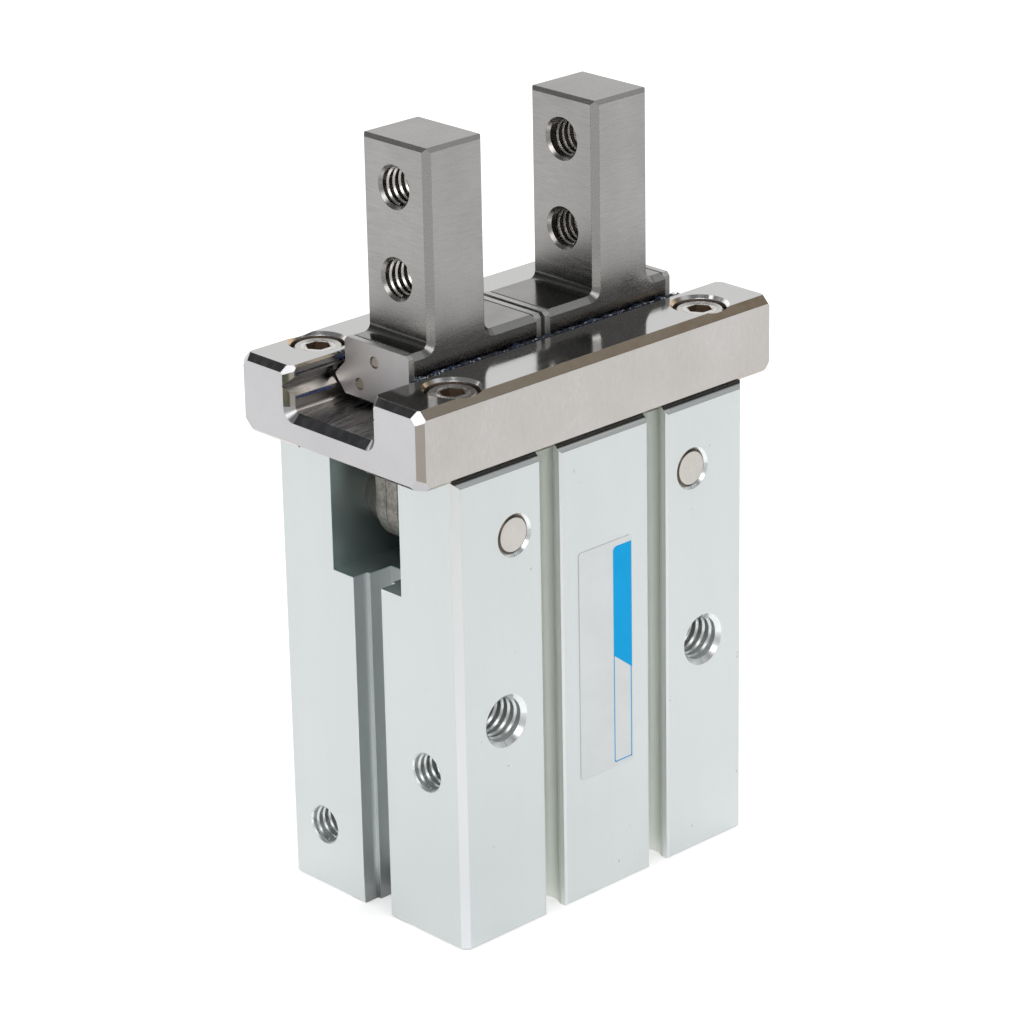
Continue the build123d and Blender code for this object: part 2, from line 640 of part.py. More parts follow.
def make_cross_pin(x):
    """One pin across the fork head, in the slot of a lever."""
    return one_solid(bar_y(CROSS_PIN_RADIUS, -HEAD_HALF_Y, HEAD_HALF_Y, x, CROSS_PIN_Z))


def make_lever():
    """The right lever, closed: a hub, a slotted arm towards the rod and an arm up to the finger."""
    hub = Circle(LEVER_HUB_RADIUS)
    arm = Pos(-LEVER_ARM_END / 2, 0) * Rectangle(LEVER_ARM_END, 2 * LEVER_ARM_HALF)
    corners = [
        (-LEVER_HUB_RADIUS, 0),
        (LEVER_HUB_RADIUS, 0),
        (LEVER_HUB_RADIUS + 0.9, 3.6),
        (LEVER_NECK_HALF + 0.3, LEVER_UP - 7.7),
        (LEVER_NECK_HALF, LEVER_UP - 3.2),
        (LEVER_NECK_HALF, LEVER_UP),
        (-LEVER_NECK_HALF, LEVER_UP),
        (-LEVER_NECK_HALF, LEVER_UP - 4.7),
        (-LEVER_NECK_HALF - 1.2, LEVER_UP - 10.2),
        (-LEVER_HUB_RADIUS - 1.6, LEVER_ARM_HALF),
    ]
    upright = make_face(Polyline(*corners, close=True))
    tip = Pos(0, LEVER_UP) * Circle(LEVER_TIP_RADIUS)
    slot_half = CROSS_PIN_RADIUS + SLOT_CLEARANCE
    slot_start = ARM_TO_PIN - CROSS_PIN_RADIUS - LEVER_SLOT_START
    slot_end = LEVER_ARM_END + WALL
    slot = Rectangle(slot_end - slot_start, 2 * slot_half)
    slot = Pos(-(slot_start + slot_end) / 2, 0) * slot
    outline = hub + arm + upright + tip - slot - Circle(LEVER_PIN_RADIUS + PIVOT_CLEARANCE)
    plate = extrude(Plane.XZ * outline, LEVER_THICKNESS / 2, both=True)
    plate = Rot(0, -SWING_HALF, 0) * plate
    return one_solid(Pos(LEVER_PIVOT_X, 0, LEVER_PIVOT_Z) * plate)


def make_finger_blank():
    """The right finger's L shape, its outline bevelled and the root of its upright rounded."""
    outer = FINGER_INNER_X + FINGER_THICKNESS
    base_in = BASE_INNER_X + PLATE_THICKNESS
    base_out = BASE_OUTER_X - PLATE_THICKNESS
    over = FINGER_TOP_Z + 2 * WALL
    corners = [
        (base_in, BASE_BOTTOM_Z),
        (base_out, BASE_BOTTOM_Z),
        (base_out, BASE_TOP_Z),
        (outer, BASE_TOP_Z),
        (outer, over),
        (FINGER_INNER_X, over),
        (FINGER_INNER_X, BASE_TOP_Z),
        (base_in, BASE_TOP_Z),
    ]
    profile = make_face(Polyline(*corners, close=True))
    roots = []
    for vertex in profile.vertices():
        at_root = abs(vertex.Y - BASE_TOP_Z) < 0.01
        if at_root and FINGER_INNER_X - 0.01 < vertex.X < outer + 0.01:
            roots.append(vertex)
    profile = fillet(roots, FINGER_FILLET)
    blank = extrude(Plane.XZ * profile, FINGER_HALF, both=True)
    rims = []
    for edge in blank.edges():
        centre = edge.center()
        on_side = abs(abs(centre.Y) - FINGER_HALF) < 0.01
        if on_side and BASE_TOP_Z - 0.01 < centre.Z < over - 0.01:
            rims.append(edge)
    blank = chamfer(rims, FINGER_CHAMFER)
    middle = (FINGER_INNER_X + outer) / 2
    blank -= beyond((middle, 0, FINGER_TOP_Z), (0, 0, 1), FINGER_HEIGHT)
    for side in (-1, 1):
        x = middle + side * (FINGER_THICKNESS / 2 - FINGER_TOP_CHAMFER)
        blank -= beyond((x, 0, FINGER_TOP_Z), (side, 0, 1), FINGER_HEIGHT)
        y = side * (FINGER_HALF - FINGER_TOP_CHAMFER)
        blank -= beyond((middle, y, FINGER_TOP_Z), (0, side, 1), FINGER_HEIGHT)
    for x, way in ((base_in, 1), (base_out, -1)):
        bevel = [
            (x - way * WALL, BASE_TOP_Z - BASE_END_CHAMFER - WALL),
            (x + way * (BASE_END_CHAMFER + WALL), BASE_TOP_Z + WALL),
            (x - way * WALL, BASE_TOP_Z + WALL),
        ]
        wedge = make_face(Polyline(*bevel, close=True))
        blank -= extrude(Plane.XZ * wedge, FINGER_HALF + WALL, both=True)
    return blank


def make_finger():
    """The right finger: the blank with its raceways, lever slot, threads and pin seats."""
    outer = FINGER_INNER_X + FINGER_THICKNESS
    base_in = BASE_INNER_X + PLATE_THICKNESS
    base_out = BASE_OUTER_X - PLATE_THICKNESS
    finger = make_finger_blank()
    tip = RACE_Y - RACE_HALF_DIAGONAL
    side_y = FINGER_HALF + WALL
    for side in (-1, 1):
        race = [
            (side * tip, RACE_Z),
            (side * side_y, RACE_Z + side_y - tip),
            (side * side_y, RACE_Z - side_y + tip),
        ]
        finger -= extrude(Plane.YZ * make_face(Polyline(*race, close=True)), BASE_OUTER_X)
    half_x = LEVER_TIP_RADIUS + SLOT_CLEARANCE
    half_y = LEVER_THICKNESS / 2 + SIDE_CLEARANCE
    low = BASE_BOTTOM_Z - WALL
    high = BASE_BOTTOM_Z + LEVER_SLOT_TOP
    finger -= block(LEVER_SLOT_X - half_x, LEVER_SLOT_X + half_x, -half_y, half_y, low, high)
    for row in (0, 1):
        z = FINGER_TOP_Z - FINGER_HOLE_FROM_TOP - row * FINGER_HOLE_PITCH
        finger -= bar_x(FINGER_HOLE_RADIUS, FINGER_INNER_X - WALL, outer + WALL, 0, z)
        finger -= cone_x(FINGER_HOLE_RADIUS, FINGER_HOLE_CHAMFER, FINGER_INNER_X, 0, z, 1)
        finger -= cone_x(FINGER_HOLE_RADIUS, FINGER_HOLE_CHAMFER, outer, 0, z, -1)
    for y, z in PLATE_PIN_SEATS:
        finger -= bar_x(PLATE_PIN_RADIUS, base_out - PLATE_PIN_DEPTH, base_out + WALL, y, z)
        finger -= bar_x(PLATE_PIN_RADIUS, base_in - WALL, base_in + PLATE_PIN_DEPTH, -y, z)
    return one_solid(finger)


def make_end_plate(x0, way):
    """A thin plate that keeps the rollers in; way is the side that its pins stand on."""
    half = FINGER_HALF - PLATE_SET_IN
    tip = RACE_TIP_Y - PLATE_TIP_BACK
    right = [
        (half + PLATE_FOOT_OUT, BASE_BOTTOM_Z),
        (tip, RACE_Z - PLATE_TIP_FLAT),
        (tip, RACE_Z),
        (half, RACE_Z + tip - half),
        (half, BASE_TOP_Z - PLATE_TOP_CHAMFER),
        (half - PLATE_TOP_CHAMFER, BASE_TOP_Z),
    ]
    left = [(-y, z) for y, z in reversed(right)]
    face = Plane.YZ * make_face(Polyline(*right, *left, close=True))
    plate = Pos(x0, 0, 0) * extrude(face, PLATE_THICKNESS)
    for y, z in PLATE_PIN_SEATS:
        plate -= bar_x(PLATE_PIN_RADIUS, x0 - WALL, x0 + PLATE_THICKNESS + WALL, way * y, z)
        outside = x0 + PLATE_THICKNESS if way > 0 else x0
        plate -= cone_x(PLATE_PIN_RADIUS, PLATE_PIN_CHAMFER, outside, way * y, z, -way)
    return one_solid(plate)


def make_plate_pins():
    """The four small pins that hold the two end plates of the right finger."""
    base_in = BASE_INNER_X + PLATE_THICKNESS
    base_out = BASE_OUTER_X - PLATE_THICKNESS
    low = BASE_INNER_X + PLATE_PIN_RECESS
    high = BASE_OUTER_X - PLATE_PIN_RECESS
    pins = []
    for y, z in PLATE_PIN_SEATS:
        pins.append(one_solid(bar_x(PLATE_PIN_RADIUS, base_out - PLATE_PIN_DEPTH, high, y, z)))
        pins.append(one_solid(bar_x(PLATE_PIN_RADIUS, low, base_in + PLATE_PIN_DEPTH, -y, z)))
    return pins


def make_roller_row(side_y):
    """One row of crossed rollers of the right finger, at the place they take when closed."""
    last = BASE_OUTER_X - PLATE_THICKNESS - ROLLER_RADIUS - ROLLER_TO_PLATE
    rollers = []
    for index in range(ROLLER_COUNT):
        x = last - index * ROLLER_PITCH
        tilt = 45 if index % 2 == 0 else -45
        roller = Cylinder(ROLLER_RADIUS, ROLLER_LENGTH)
        rollers.append(one_solid(Pos(x, side_y * RACE_Y, RACE_Z) * Rot(tilt, 0, 0) * roller))
    return rollers


def save(name, shapes):
    """Writes one node's STEP file."""
    solids = shapes if isinstance(shapes, list) else [shapes]
    shape = solids[0] if len(solids) == 1 else Compound(children=solids)
    shape.label = name
    export_step(shape, "parts/{}.step".format(name))


def main():
    """Builds every node and writes its file."""
    os.makedirs("parts", exist_ok=True)
    save("housing", make_housing())
    save("guide_rail", make_guide_rail())
    places = [(-SCREW_X, -SCREW_Y), (-SCREW_X, SCREW_Y), (SCREW_X, -SCREW_Y), (SCREW_X, SCREW_Y)]
    save("guide_screws", [make_screw(x, y) for x, y in places])
    save("lever_pins", [make_lever_pin(-LEVER_PIVOT_X), make_lever_pin(LEVER_PIVOT_X)])
    spacers = [make_spacer(side * LEVER_PIVOT_X, face) for side in (-1, 1) for face in (-1, 1)]
    save("lever_spacers", spacers)
    save("cylinder_cap", make_cap())
    save("cap_seal", make_cap_seal())
    save("retaining_ring", make_retaining_ring())
    save("lower_bumper", make_lower_bumper())
    save("upper_bumper", make_upper_bumper())
    save("rod_seal", make_rod_seal())
    save("rod_bush", make_rod_bush())
    save("piston", make_piston())
    save("piston_wear_ring", make_wear_ring())
    save("piston_seal", make_piston_seal())
    save("magnet_ring", make_magnet())
    save("magnet_cover", make_magnet_cover())
    save("piston_nut", make_piston_nut())
    save("piston_rod", make_piston_rod())
    save("cross_pins", [make_cross_pin(-CROSS_PIN_X), make_cross_pin(CROSS_PIN_X)])
    lever = make_lever()
    finger = make_finger()
    outer_plate = make_end_plate(BASE_OUTER_X - PLATE_THICKNESS, 1)
    inner_plate = make_end_plate(BASE_INNER_X, -1)
    pins = make_plate_pins()
    save("lever_right", lever)
    save("lever_left", mirrored(lever))
    save("finger_right", finger)
    save("finger_left", mirrored(finger))
    save("outer_plate_right", outer_plate)
    save("outer_plate_left", mirrored(outer_plate))
    save("inner_plate_right", inner_plate)
    save("inner_plate_left", mirrored(inner_plate))
    save("plate_pins_right", pins)
    save("plate_pins_left", [mirrored(pin) for pin in pins])
    for name, side_y in (("front", -1), ("back", 1)):
        row = make_roller_row(side_y)
        save("rollers_right_" + name, row)
        save("rollers_left_" + name, [mirrored(roller) for roller in row])


main()
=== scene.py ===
"""Parallel gripper: looks, loose detail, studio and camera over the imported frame, in metres."""
import bpy, bmesh, json, math
from mathutils import Matrix, Vector, noise


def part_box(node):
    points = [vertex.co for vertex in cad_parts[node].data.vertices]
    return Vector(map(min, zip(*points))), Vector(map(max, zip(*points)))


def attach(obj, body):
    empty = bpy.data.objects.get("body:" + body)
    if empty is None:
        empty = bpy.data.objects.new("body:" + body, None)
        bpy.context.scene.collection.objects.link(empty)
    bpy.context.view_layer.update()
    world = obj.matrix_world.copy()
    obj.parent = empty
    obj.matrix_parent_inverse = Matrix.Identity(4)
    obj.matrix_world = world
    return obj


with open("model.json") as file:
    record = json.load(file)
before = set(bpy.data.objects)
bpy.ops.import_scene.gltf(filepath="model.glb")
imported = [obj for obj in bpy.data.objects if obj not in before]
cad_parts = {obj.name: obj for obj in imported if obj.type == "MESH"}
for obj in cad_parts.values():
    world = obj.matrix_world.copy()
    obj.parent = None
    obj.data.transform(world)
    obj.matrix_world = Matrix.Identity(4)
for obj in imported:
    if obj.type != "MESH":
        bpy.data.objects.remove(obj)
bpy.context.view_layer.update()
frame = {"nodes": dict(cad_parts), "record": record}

nodes = frame["nodes"]
MM = 0.001

# Places that the frame gives, and the few sizes that it does not
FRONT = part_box("housing")[0].y
HOUSING_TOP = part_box("housing")[1].z
RAIL_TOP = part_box("guide_rail")[1].z
FINGER_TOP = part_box("finger_left")[1].z
SCREW_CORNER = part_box("guide_screws")[1]
roller_low, roller_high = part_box("rollers_left_back")
RACE_HEIGHT = (roller_low.z + roller_high.z) / 2
CHANNEL_HALF = 7.5 * MM
CHANNEL_DEPTH = 6.1 * MM
UPRIGHT_HEIGHT = 25.85 * MM
WINDOW_HEIGHT = 18.2 * MM
CHANNEL_FLOOR = RAIL_TOP - CHANNEL_DEPTH
BASE_TOP = FINGER_TOP - UPRIGHT_HEIGHT
WINDOW_FLOOR = HOUSING_TOP - WINDOW_HEIGHT


def border(place, start, end):
    """A stretch over which one tone fades into the next: two offsets in millimetres from a place."""
    return place + start * MM, place + end * MM


# Borders on the housing, off its middle planes or up from its foot
GROOVE_SIDE = border(0, 12.2, 12.4)
GROOVE_FLOOR = border(0, 11.6, 11.8)
GROOVE_FLANK = border(0, 13.6, 15.95)
GROOVE_LIP = border(0, 15.95, 16.1)
GROOVE_MOUTH = border(0, 16.6, 16.75)
WINDOW_SIDE = border(0, 6.55, 6.6)
WINDOW_INSIDE = border(0, 16, 25)
WINDOW_SILL = border(WINDOW_FLOOR, -0.2, 0)
SLOT_SIDE = border(0, 5.4, 5.5)
SLOT_MOUTH = border(0, 25.85, 25.9)
SLOT_SHADE = border(0, 0, 6)
FLOOR_GLOW = border(0, 0, 14)
# Height over which the painted highlight on the housing's upright chamfers brightens
CORNER_HIGHLIGHT = border(0, 8, 52)
# Band of the housing's top chamfer, under the rail, that is painted near black as painted shade
UNDER_RAIL_SHADE = border(HOUSING_TOP, -0.65, -0.5)

# Borders on the rail and its screws
CHANNEL_WALL = border(CHANNEL_HALF, 1.25, 1.35)
CHANNEL_RIM = border(RAIL_TOP, -0.6, -0.5)
CHANNEL_END = border(0, -30.95, -30.8)
# Stretch along which painted shade darkens the rail's long chamfers
EDGE_SHADE_ALONG_X = border(0, -28, 28)
SOCKET_MOUTH = border(SCREW_CORNER.z, -0.12, -0.06)

# Borders on the fingers and the levers
BASE_EDGES = border(BASE_TOP, 0.2, 1.5)
ROOT_FOOT = border(BASE_TOP, 0.02, 0.1)
ROOT_HEAD = border(BASE_TOP, 0.8, 2.6)
ROOT_SHADE = border(BASE_TOP, 0, 11)
BORE_SIDE = border(0, 2.6, 2.7)
BORES_FOOT = border(FINGER_TOP, -22.4, -21.9)
BORES_HEAD = border(FINGER_TOP, -2.9, -2.7)
LEVER_PLATE_HALF = 1.05 * MM
LEVER_SEAM = border(0, 0.03, 0.07)

# Grain that runs evenly or upright, how far a face at 45 degrees leans, and the round of a sharp edge
EVEN = (1, 1, 1)
UPRIGHT = (1, 1, 0.1)
LEAN_OF_45 = 0.707
BROKEN_EDGE = 0.09 * MM


# Materials: each finish is a small node tree on Object coordinates

class Nodes:
    """Short calls for building one node tree."""

    def __init__(self, tree):
        self.tree = tree

    def add(self, kind, **settings):
        made = self.tree.nodes.new(kind)
        for key, value in settings.items():
            setattr(made, key, value)
        return made

    def join(self, output, socket):
        self.tree.links.new(output, socket)

    def feed(self, value, socket):
        """Sets a socket to a number or a colour, or links it to an output."""
        if isinstance(value, (int, float)):
            socket.default_value = value
        elif isinstance(value, tuple):
            socket.default_value = (*value, 1)
        else:
            self.join(value, socket)

    def maths(self, operation, first, second=None):
        made = self.add("ShaderNodeMath", operation=operation)
        self.feed(first, made.inputs[0])
        if second is not None:
            self.feed(second, made.inputs[1])
        return made.outputs[0]

    def times(self, *values):
        """The product of values, and where they are masks, the part that they all cover."""
        product = values[0]
        for value in values[1:]:
            product = self.maths("MULTIPLY", product, value)
        return product

    def weighed(self, *shares):
        """The sum of values, each times its weight."""
        parts = [self.maths("MULTIPLY", value, weight) for value, weight in shares]
        total = parts[0]
        for part in parts[1:]:
            total = self.maths("ADD", total, part)
        return total

    def spread(self, value, low, high, to_low, to_high, smooth=False):
        """A value carried from one range to another, and held at the ends."""
        made = self.add("ShaderNodeMapRange")
        if smooth:
            made.interpolation_type = "SMOOTHSTEP"
        for name, number in (("Value", value), ("From Min", low), ("From Max", high),
                             ("To Min", to_low), ("To Max", to_high)):
            self.feed(number, made.inputs[name])
        return made.outputs["Result"]

    def axis(self, vector, name):
        made = self.add("ShaderNodeSeparateXYZ")
        self.join(vector, made.inputs["Vector"])
        return made.outputs[name]

    def along(self, vector, direction):
        """How far a vector points along a direction."""
        made = self.add("ShaderNodeVectorMath", operation="DOT_PRODUCT")
        self.join(vector, made.inputs[0])
        made.inputs[1].default_value = direction
        return made.outputs["Value"]

    def tint(self, factor, first, second):
        """A colour between two, by a factor from 0 to 1."""
        made = self.add("ShaderNodeMix", data_type="RGBA")
        colours = [item for item in made.inputs if item.type == "RGBA"]
        self.feed(first, colours[0])
        self.feed(second, colours[1])
        self.join(factor, made.inputs["Factor"])
        return [item for item in made.outputs if item.type == "RGBA"][0]


class Finish(Nodes):
    """One material under construction."""

    def __init__(self, name, colour, metal, rough):
        self.material = bpy.data.materials.new(name)
        self.material.use_nodes = True
        super().__init__(self.material.node_tree)
        self.shader = self.tree.nodes["Principled BSDF"]
        self.shader.inputs["Metallic"].default_value = metal
        self.shader.inputs["Base Color"].default_value = (*colour, 1)
        self.shader.inputs["Roughness"].default_value = rough
        coords = self.add("ShaderNodeTexCoord")
        self.place = coords.outputs["Object"]
        self.facing = coords.outputs["Normal"]
        self.edge = self.add("ShaderNodeBevel", samples=4)
        self.edge.inputs["Radius"].default_value = BROKEN_EDGE
        self.join(self.edge.outputs["Normal"], self.shader.inputs["Normal"])

    def grain(self, scale, stretch=EVEN, detail=3.0, turn=0.0):
        """Noise with that many features a metre, drawn out along the axes whose stretch is small."""
        turned = self.add("ShaderNodeMapping")
        turned.inputs["Rotation"].default_value = (0, 0, turn)
        self.join(self.place, turned.inputs["Vector"])
        drawn = self.add("ShaderNodeMapping")
        drawn.inputs["Scale"].default_value = stretch
        self.join(turned.outputs["Vector"], drawn.inputs["Vector"])
        made = self.add("ShaderNodeTexNoise")
        made.inputs["Scale"].default_value = scale
        made.inputs["Detail"].default_value = detail
        self.join(drawn.outputs["Vector"], made.inputs["Vector"])
        return made.outputs["Fac"]

    def past(self, value, limits):
        """0 before a border, 1 past it."""
        return self.spread(value, *limits, 0, 1)

    def before(self, value, limits):
        """1 before a border, 0 past it."""
        return self.spread(value, *limits, 1, 0)

    def outside(self, mask):
        """1 where a mask is 0, and the other way round."""
        return self.maths("SUBTRACT", 1.0, mask)

    def off_middle(self, name):
        """How far a point lies from a middle plane, either way."""
        return self.maths("ABSOLUTE", self.axis(self.place, name))

    def level_at(self, height, reach=0.12 * MM):
        """1 on the level faces at that height, 0 elsewhere."""
        flat = self.past(self.axis(self.facing, "Z"), (0.97, 0.995))
        off = self.maths("ABSOLUTE", self.maths("SUBTRACT", self.axis(self.place, "Z"), height))
        return self.times(flat, self.before(off, (0.6 * reach, reach)))

    def lean(self, name):
        """How far a face looks along an axis, either way."""
        return self.maths("ABSOLUTE", self.axis(self.facing, name))

    def chamfers(self):
        """1 on faces that lean about 45 degrees between two axes, 0 on main faces, corners and cones."""
        x, y, z = (self.lean(name) for name in ("X", "Y", "Z"))
        most = self.maths("MAXIMUM", self.maths("MAXIMUM", x, y), z)
        least = self.maths("MINIMUM", self.maths("MINIMUM", x, y), z)
        return self.times(self.before(most, (0.74, 0.80)), self.before(least, (0.02, 0.05)))

    def cones(self, name, straight):
        """1 on 45 degree countersinks about an axis, 0 elsewhere; straight is the mask of plain chamfers."""
        off = self.maths("ABSOLUTE", self.maths("SUBTRACT", self.lean(name), LEAN_OF_45))
        return self.times(self.before(off, (0.03, 0.06)), self.outside(straight))

    def mix(self, factor, first, second):
        """A number between two, by a factor from 0 to 1."""
        return self.maths("ADD", self.times(second, factor), self.times(first, self.outside(factor)))

    def scaled(self, colour, factor):
        """A colour made brighter or darker by a number."""
        made = self.add("ShaderNodeVectorMath", operation="SCALE")
        self.join(colour, made.inputs[0])
        self.feed(factor, made.inputs["Scale"])
        return made.outputs[0]

    def paint(self, colour):
        self.feed(colour, self.shader.inputs["Base Color"])

    def gloss(self, value):
        self.feed(value, self.shader.inputs["Roughness"])

    def emboss(self, height, depth, strength):
        """Relief that follows a value, with its depth in millimetres."""
        made = self.add("ShaderNodeBump")
        made.inputs["Distance"].default_value = depth * MM
        made.inputs["Strength"].default_value = strength
        self.join(height, made.inputs["Height"])
        self.join(self.edge.outputs["Normal"], made.inputs["Normal"])
        self.join(made.outputs["Normal"], self.shader.inputs["Normal"])


def anodised_body():
    """Clear hard anodising on an extruded block: smooth pale grey-green satin, a little cloudy."""
    coat = Finish("anodised_body", (0.70, 0.745, 0.74), 0.9, 0.40)
    draw = coat.grain(1500, (1, 1, 0.02))
    cloud = coat.grain(60, (1, 1, 0.4))
    speck = coat.grain(5200, EVEN, 2)
    pit = coat.grain(1150, (1, 1, 0.7), 1)
    height = coat.axis(coat.place, "Z")
    aside = coat.off_middle("X")
    across = coat.off_middle("Y")
    tone = coat.weighed((draw, 0.2), (cloud, 0.8))
    skin = coat.tint(coat.past(tone, (0.38, 0.62)), (0.70, 0.735, 0.735), (0.72, 0.755, 0.757))
    skin = coat.tint(coat.spread(pit, 0.79, 0.815, 0, 0.38), skin, (0.25, 0.25, 0.24))
    bevel = coat.chamfers()
    sunk = coat.cones("Y", bevel)
    upright = coat.times(bevel, coat.before(coat.lean("Z"), (0.1, 0.3)))
    level = coat.maths("SUBTRACT", bevel, upright)
    # The countersinks are painted near white: a painted highlight.
    skin = coat.tint(sunk, skin, (0.92, 0.95, 0.95))
    # The upright chamfers are painted near white as a painted highlight, dimmer towards the foot.
    chamfer_highlight = coat.tint(coat.past(height, CORNER_HIGHLIGHT), (0.79, 0.81, 0.83), (0.99, 1.0, 1.0))
    skin = coat.tint(upright, skin, chamfer_highlight)
    # In the grooves the walls are painted lighter than the body as a painted highlight, with painted shade
    # that darkens them towards the lip and less on the lip itself.
    groove = coat.times(coat.before(across, GROOVE_MOUTH), coat.before(aside, GROOVE_SIDE),
                        coat.past(across, GROOVE_FLOOR))
    lip = coat.past(across, GROOVE_LIP)
    lit_flank = coat.tint(lip, (0.88, 0.905, 0.865), (0.87, 0.90, 0.88))
    flank_shade = coat.mix(lip, coat.spread(across, *GROOVE_FLANK, 1.04, 0.76), 0.95)
    skin = coat.tint(groove, skin, coat.scaled(lit_flank, flank_shade))
    # Painted shade: the top of the housing's level chamfers, under the rail, is painted near black.
    under_rail_shade = coat.times(level, coat.past(height, UNDER_RAIL_SHADE))
    skin = coat.tint(under_rail_shade, skin, (0.08, 0.085, 0.085))
    # Inside the window a greener tint, with mottled painted shade that darkens it towards the middle.
    room = coat.times(coat.before(across, WINDOW_SIDE), coat.past(height, WINDOW_SILL))
    inside = coat.tint(room, skin, (0.70, 0.84, 0.83))
    shade = coat.times(coat.spread(aside, *WINDOW_INSIDE, 0.56, 0.92),
                       coat.spread(cloud, 0.4, 0.6, 0.85, 1.25))
    skin = coat.tint(room, skin, coat.scaled(inside, shade))
    # In the side slots, painted shade darkens the body towards the foot.
    slot = coat.times(coat.before(across, SLOT_SIDE), coat.before(aside, SLOT_MOUTH))
    skin = coat.scaled(skin, coat.mix(slot, 1.0, coat.spread(height, *SLOT_SHADE, 0.42, 1.0, smooth=True)))
    # Painted light makes the body a little lighter towards the foot.
    coat.paint(coat.scaled(skin, coat.spread(height, *FLOOR_GLOW, 1.06, 1.0, smooth=True)))
    satin = coat.spread(speck, 0.3, 0.7, 0.36, 0.46)
    coat.gloss(coat.mix(coat.maths("MAXIMUM", level, sunk), satin, 0.22))
    coat.emboss(speck, 0.006, 0.25)
    return coat.material


def guide_steel():
    """Ground rail: satin sides, a lapped top that mirrors, brown broken edges with painted shade and
    highlights, a milled channel floor.
    """
    coat = Finish("guide_steel", (0.60, 0.585, 0.575), 1.0, 0.3)
    on_top = coat.level_at(RAIL_TOP)
    on_floor = coat.level_at(CHANNEL_FLOOR)
    edge = coat.chamfers()
    ring = coat.cones("Z", edge)
    to_end = coat.past(coat.lean("X"), (0.35, 0.5))
    upward = coat.axis(coat.facing, "Z")
    along_x = coat.axis(coat.place, "X")
    lapped = coat.grain(1500, (0.03, 1, 1))
    milled = coat.grain(2600, (0.07, 1, 1), turn=math.radians(-9))
    blotch = coat.grain(85, EVEN, 4)
    scuff = coat.grain(700, EVEN, 4)
    fine = coat.grain(4200, (1, 1, 0.3))
    sides = coat.spread(fine, 0.3, 0.7, 0.27, 0.34)
    sides = coat.mix(edge, sides, coat.spread(scuff, 0.35, 0.65, 0.13, 0.24))
    sides = coat.mix(ring, sides, 0.10)
    sides = coat.mix(on_floor, sides, coat.spread(milled, 0.35, 0.65, 0.22, 0.4))
    coat.gloss(coat.mix(on_top, sides, coat.spread(lapped, 0.3, 0.7, 0.08, 0.13)))
    patches = coat.past(blotch, (0.35, 0.65))
    front = coat.tint(patches, (0.525, 0.50, 0.475), (0.565, 0.545, 0.53))
    front = coat.tint(coat.spread(fine, 0.35, 0.65, 0, 0.25), front, (0.49, 0.465, 0.44))
    end = coat.tint(patches, (0.55, 0.54, 0.55), (0.585, 0.58, 0.595))
    skin = coat.tint(to_end, front, end)
    skin = coat.tint(on_top, skin, (0.565, 0.56, 0.555))
    cut = coat.tint(coat.past(milled, (0.35, 0.65)), (0.36, 0.35, 0.345), (0.60, 0.585, 0.57))
    skin = coat.tint(on_floor, skin, cut)
    worn = coat.past(scuff, (0.35, 0.68))
    # The long chamfers are brown, with painted shade that makes them darker and browner towards +X. Scuffs
    # lighten them in patches.
    long_edge = coat.tint(coat.past(along_x, EDGE_SHADE_ALONG_X), (0.43, 0.37, 0.30), (0.36, 0.275, 0.185))
    long_edge = coat.tint(coat.times(worn, 0.5), long_edge, (0.46, 0.40, 0.33))
    # On the end chamfers, those facing up are painted near black as painted shade, and the upright ones a
    # light brown-grey.
    facet_up = coat.past(upward, (0.3, 0.5))
    end_edge_shade = coat.tint(worn, (0.20, 0.20, 0.205), (0.27, 0.27, 0.28))
    corner = coat.tint(facet_up, (0.60, 0.545, 0.49), end_edge_shade)
    # On the channel's chamfers at the rail's ends: painted shade, dark and streaked, nearest the -X end face,
    # and a painted highlight, light brown, inward of it and at the +X end. Those facing up are painted dark
    # as painted shade.
    streak = coat.grain(420, (1, 1, 0.35))
    wall = coat.tint(coat.past(streak, (0.40, 0.60)), (0.13, 0.14, 0.10), (0.36, 0.31, 0.24))
    wall = coat.tint(coat.spread(along_x, *CHANNEL_END, 0, 0.85), wall, (0.58, 0.54, 0.47))
    inner = coat.tint(facet_up, wall, coat.tint(worn, (0.19, 0.195, 0.205), (0.28, 0.285, 0.295)))
    within = coat.before(coat.off_middle("Y"), CHANNEL_WALL)
    corner = coat.tint(coat.times(within, coat.past(upward, (-0.4, -0.2))), corner, inner)
    # In the ball races the flank facing down is painted near black as painted shade, and the flank facing up
    # light as a painted highlight.
    in_race = coat.times(within, coat.before(coat.axis(coat.place, "Z"), CHANNEL_RIM))
    race = coat.tint(coat.past(upward, (-0.2, 0.2)), (0.07, 0.07, 0.08), (0.66, 0.62, 0.57))
    long_edge = coat.tint(in_race, long_edge, race)
    skin = coat.tint(edge, skin, coat.tint(to_end, long_edge, corner))
    # Round the screw countersinks the colour goes by which way the face turns: white on faces turned towards
    # -X as a painted highlight, dark olive across the middle as painted shade, and brown on faces turned
    # towards +X.
    sideways = coat.axis(coat.facing, "X")
    rim = coat.tint(coat.past(sideways, (-0.15, 0.05)), (1.0, 1.0, 1.0), (0.27, 0.26, 0.20))
    rim = coat.tint(coat.past(sideways, (0.10, 0.32)), rim, (0.66, 0.47, 0.28))
    coat.paint(coat.tint(ring, skin, rim))
    relief = coat.maths("ADD", coat.times(fine, coat.outside(on_top)), coat.times(milled, 4.0, on_floor))
    coat.emboss(relief, 0.008, 0.4)
    return coat.material


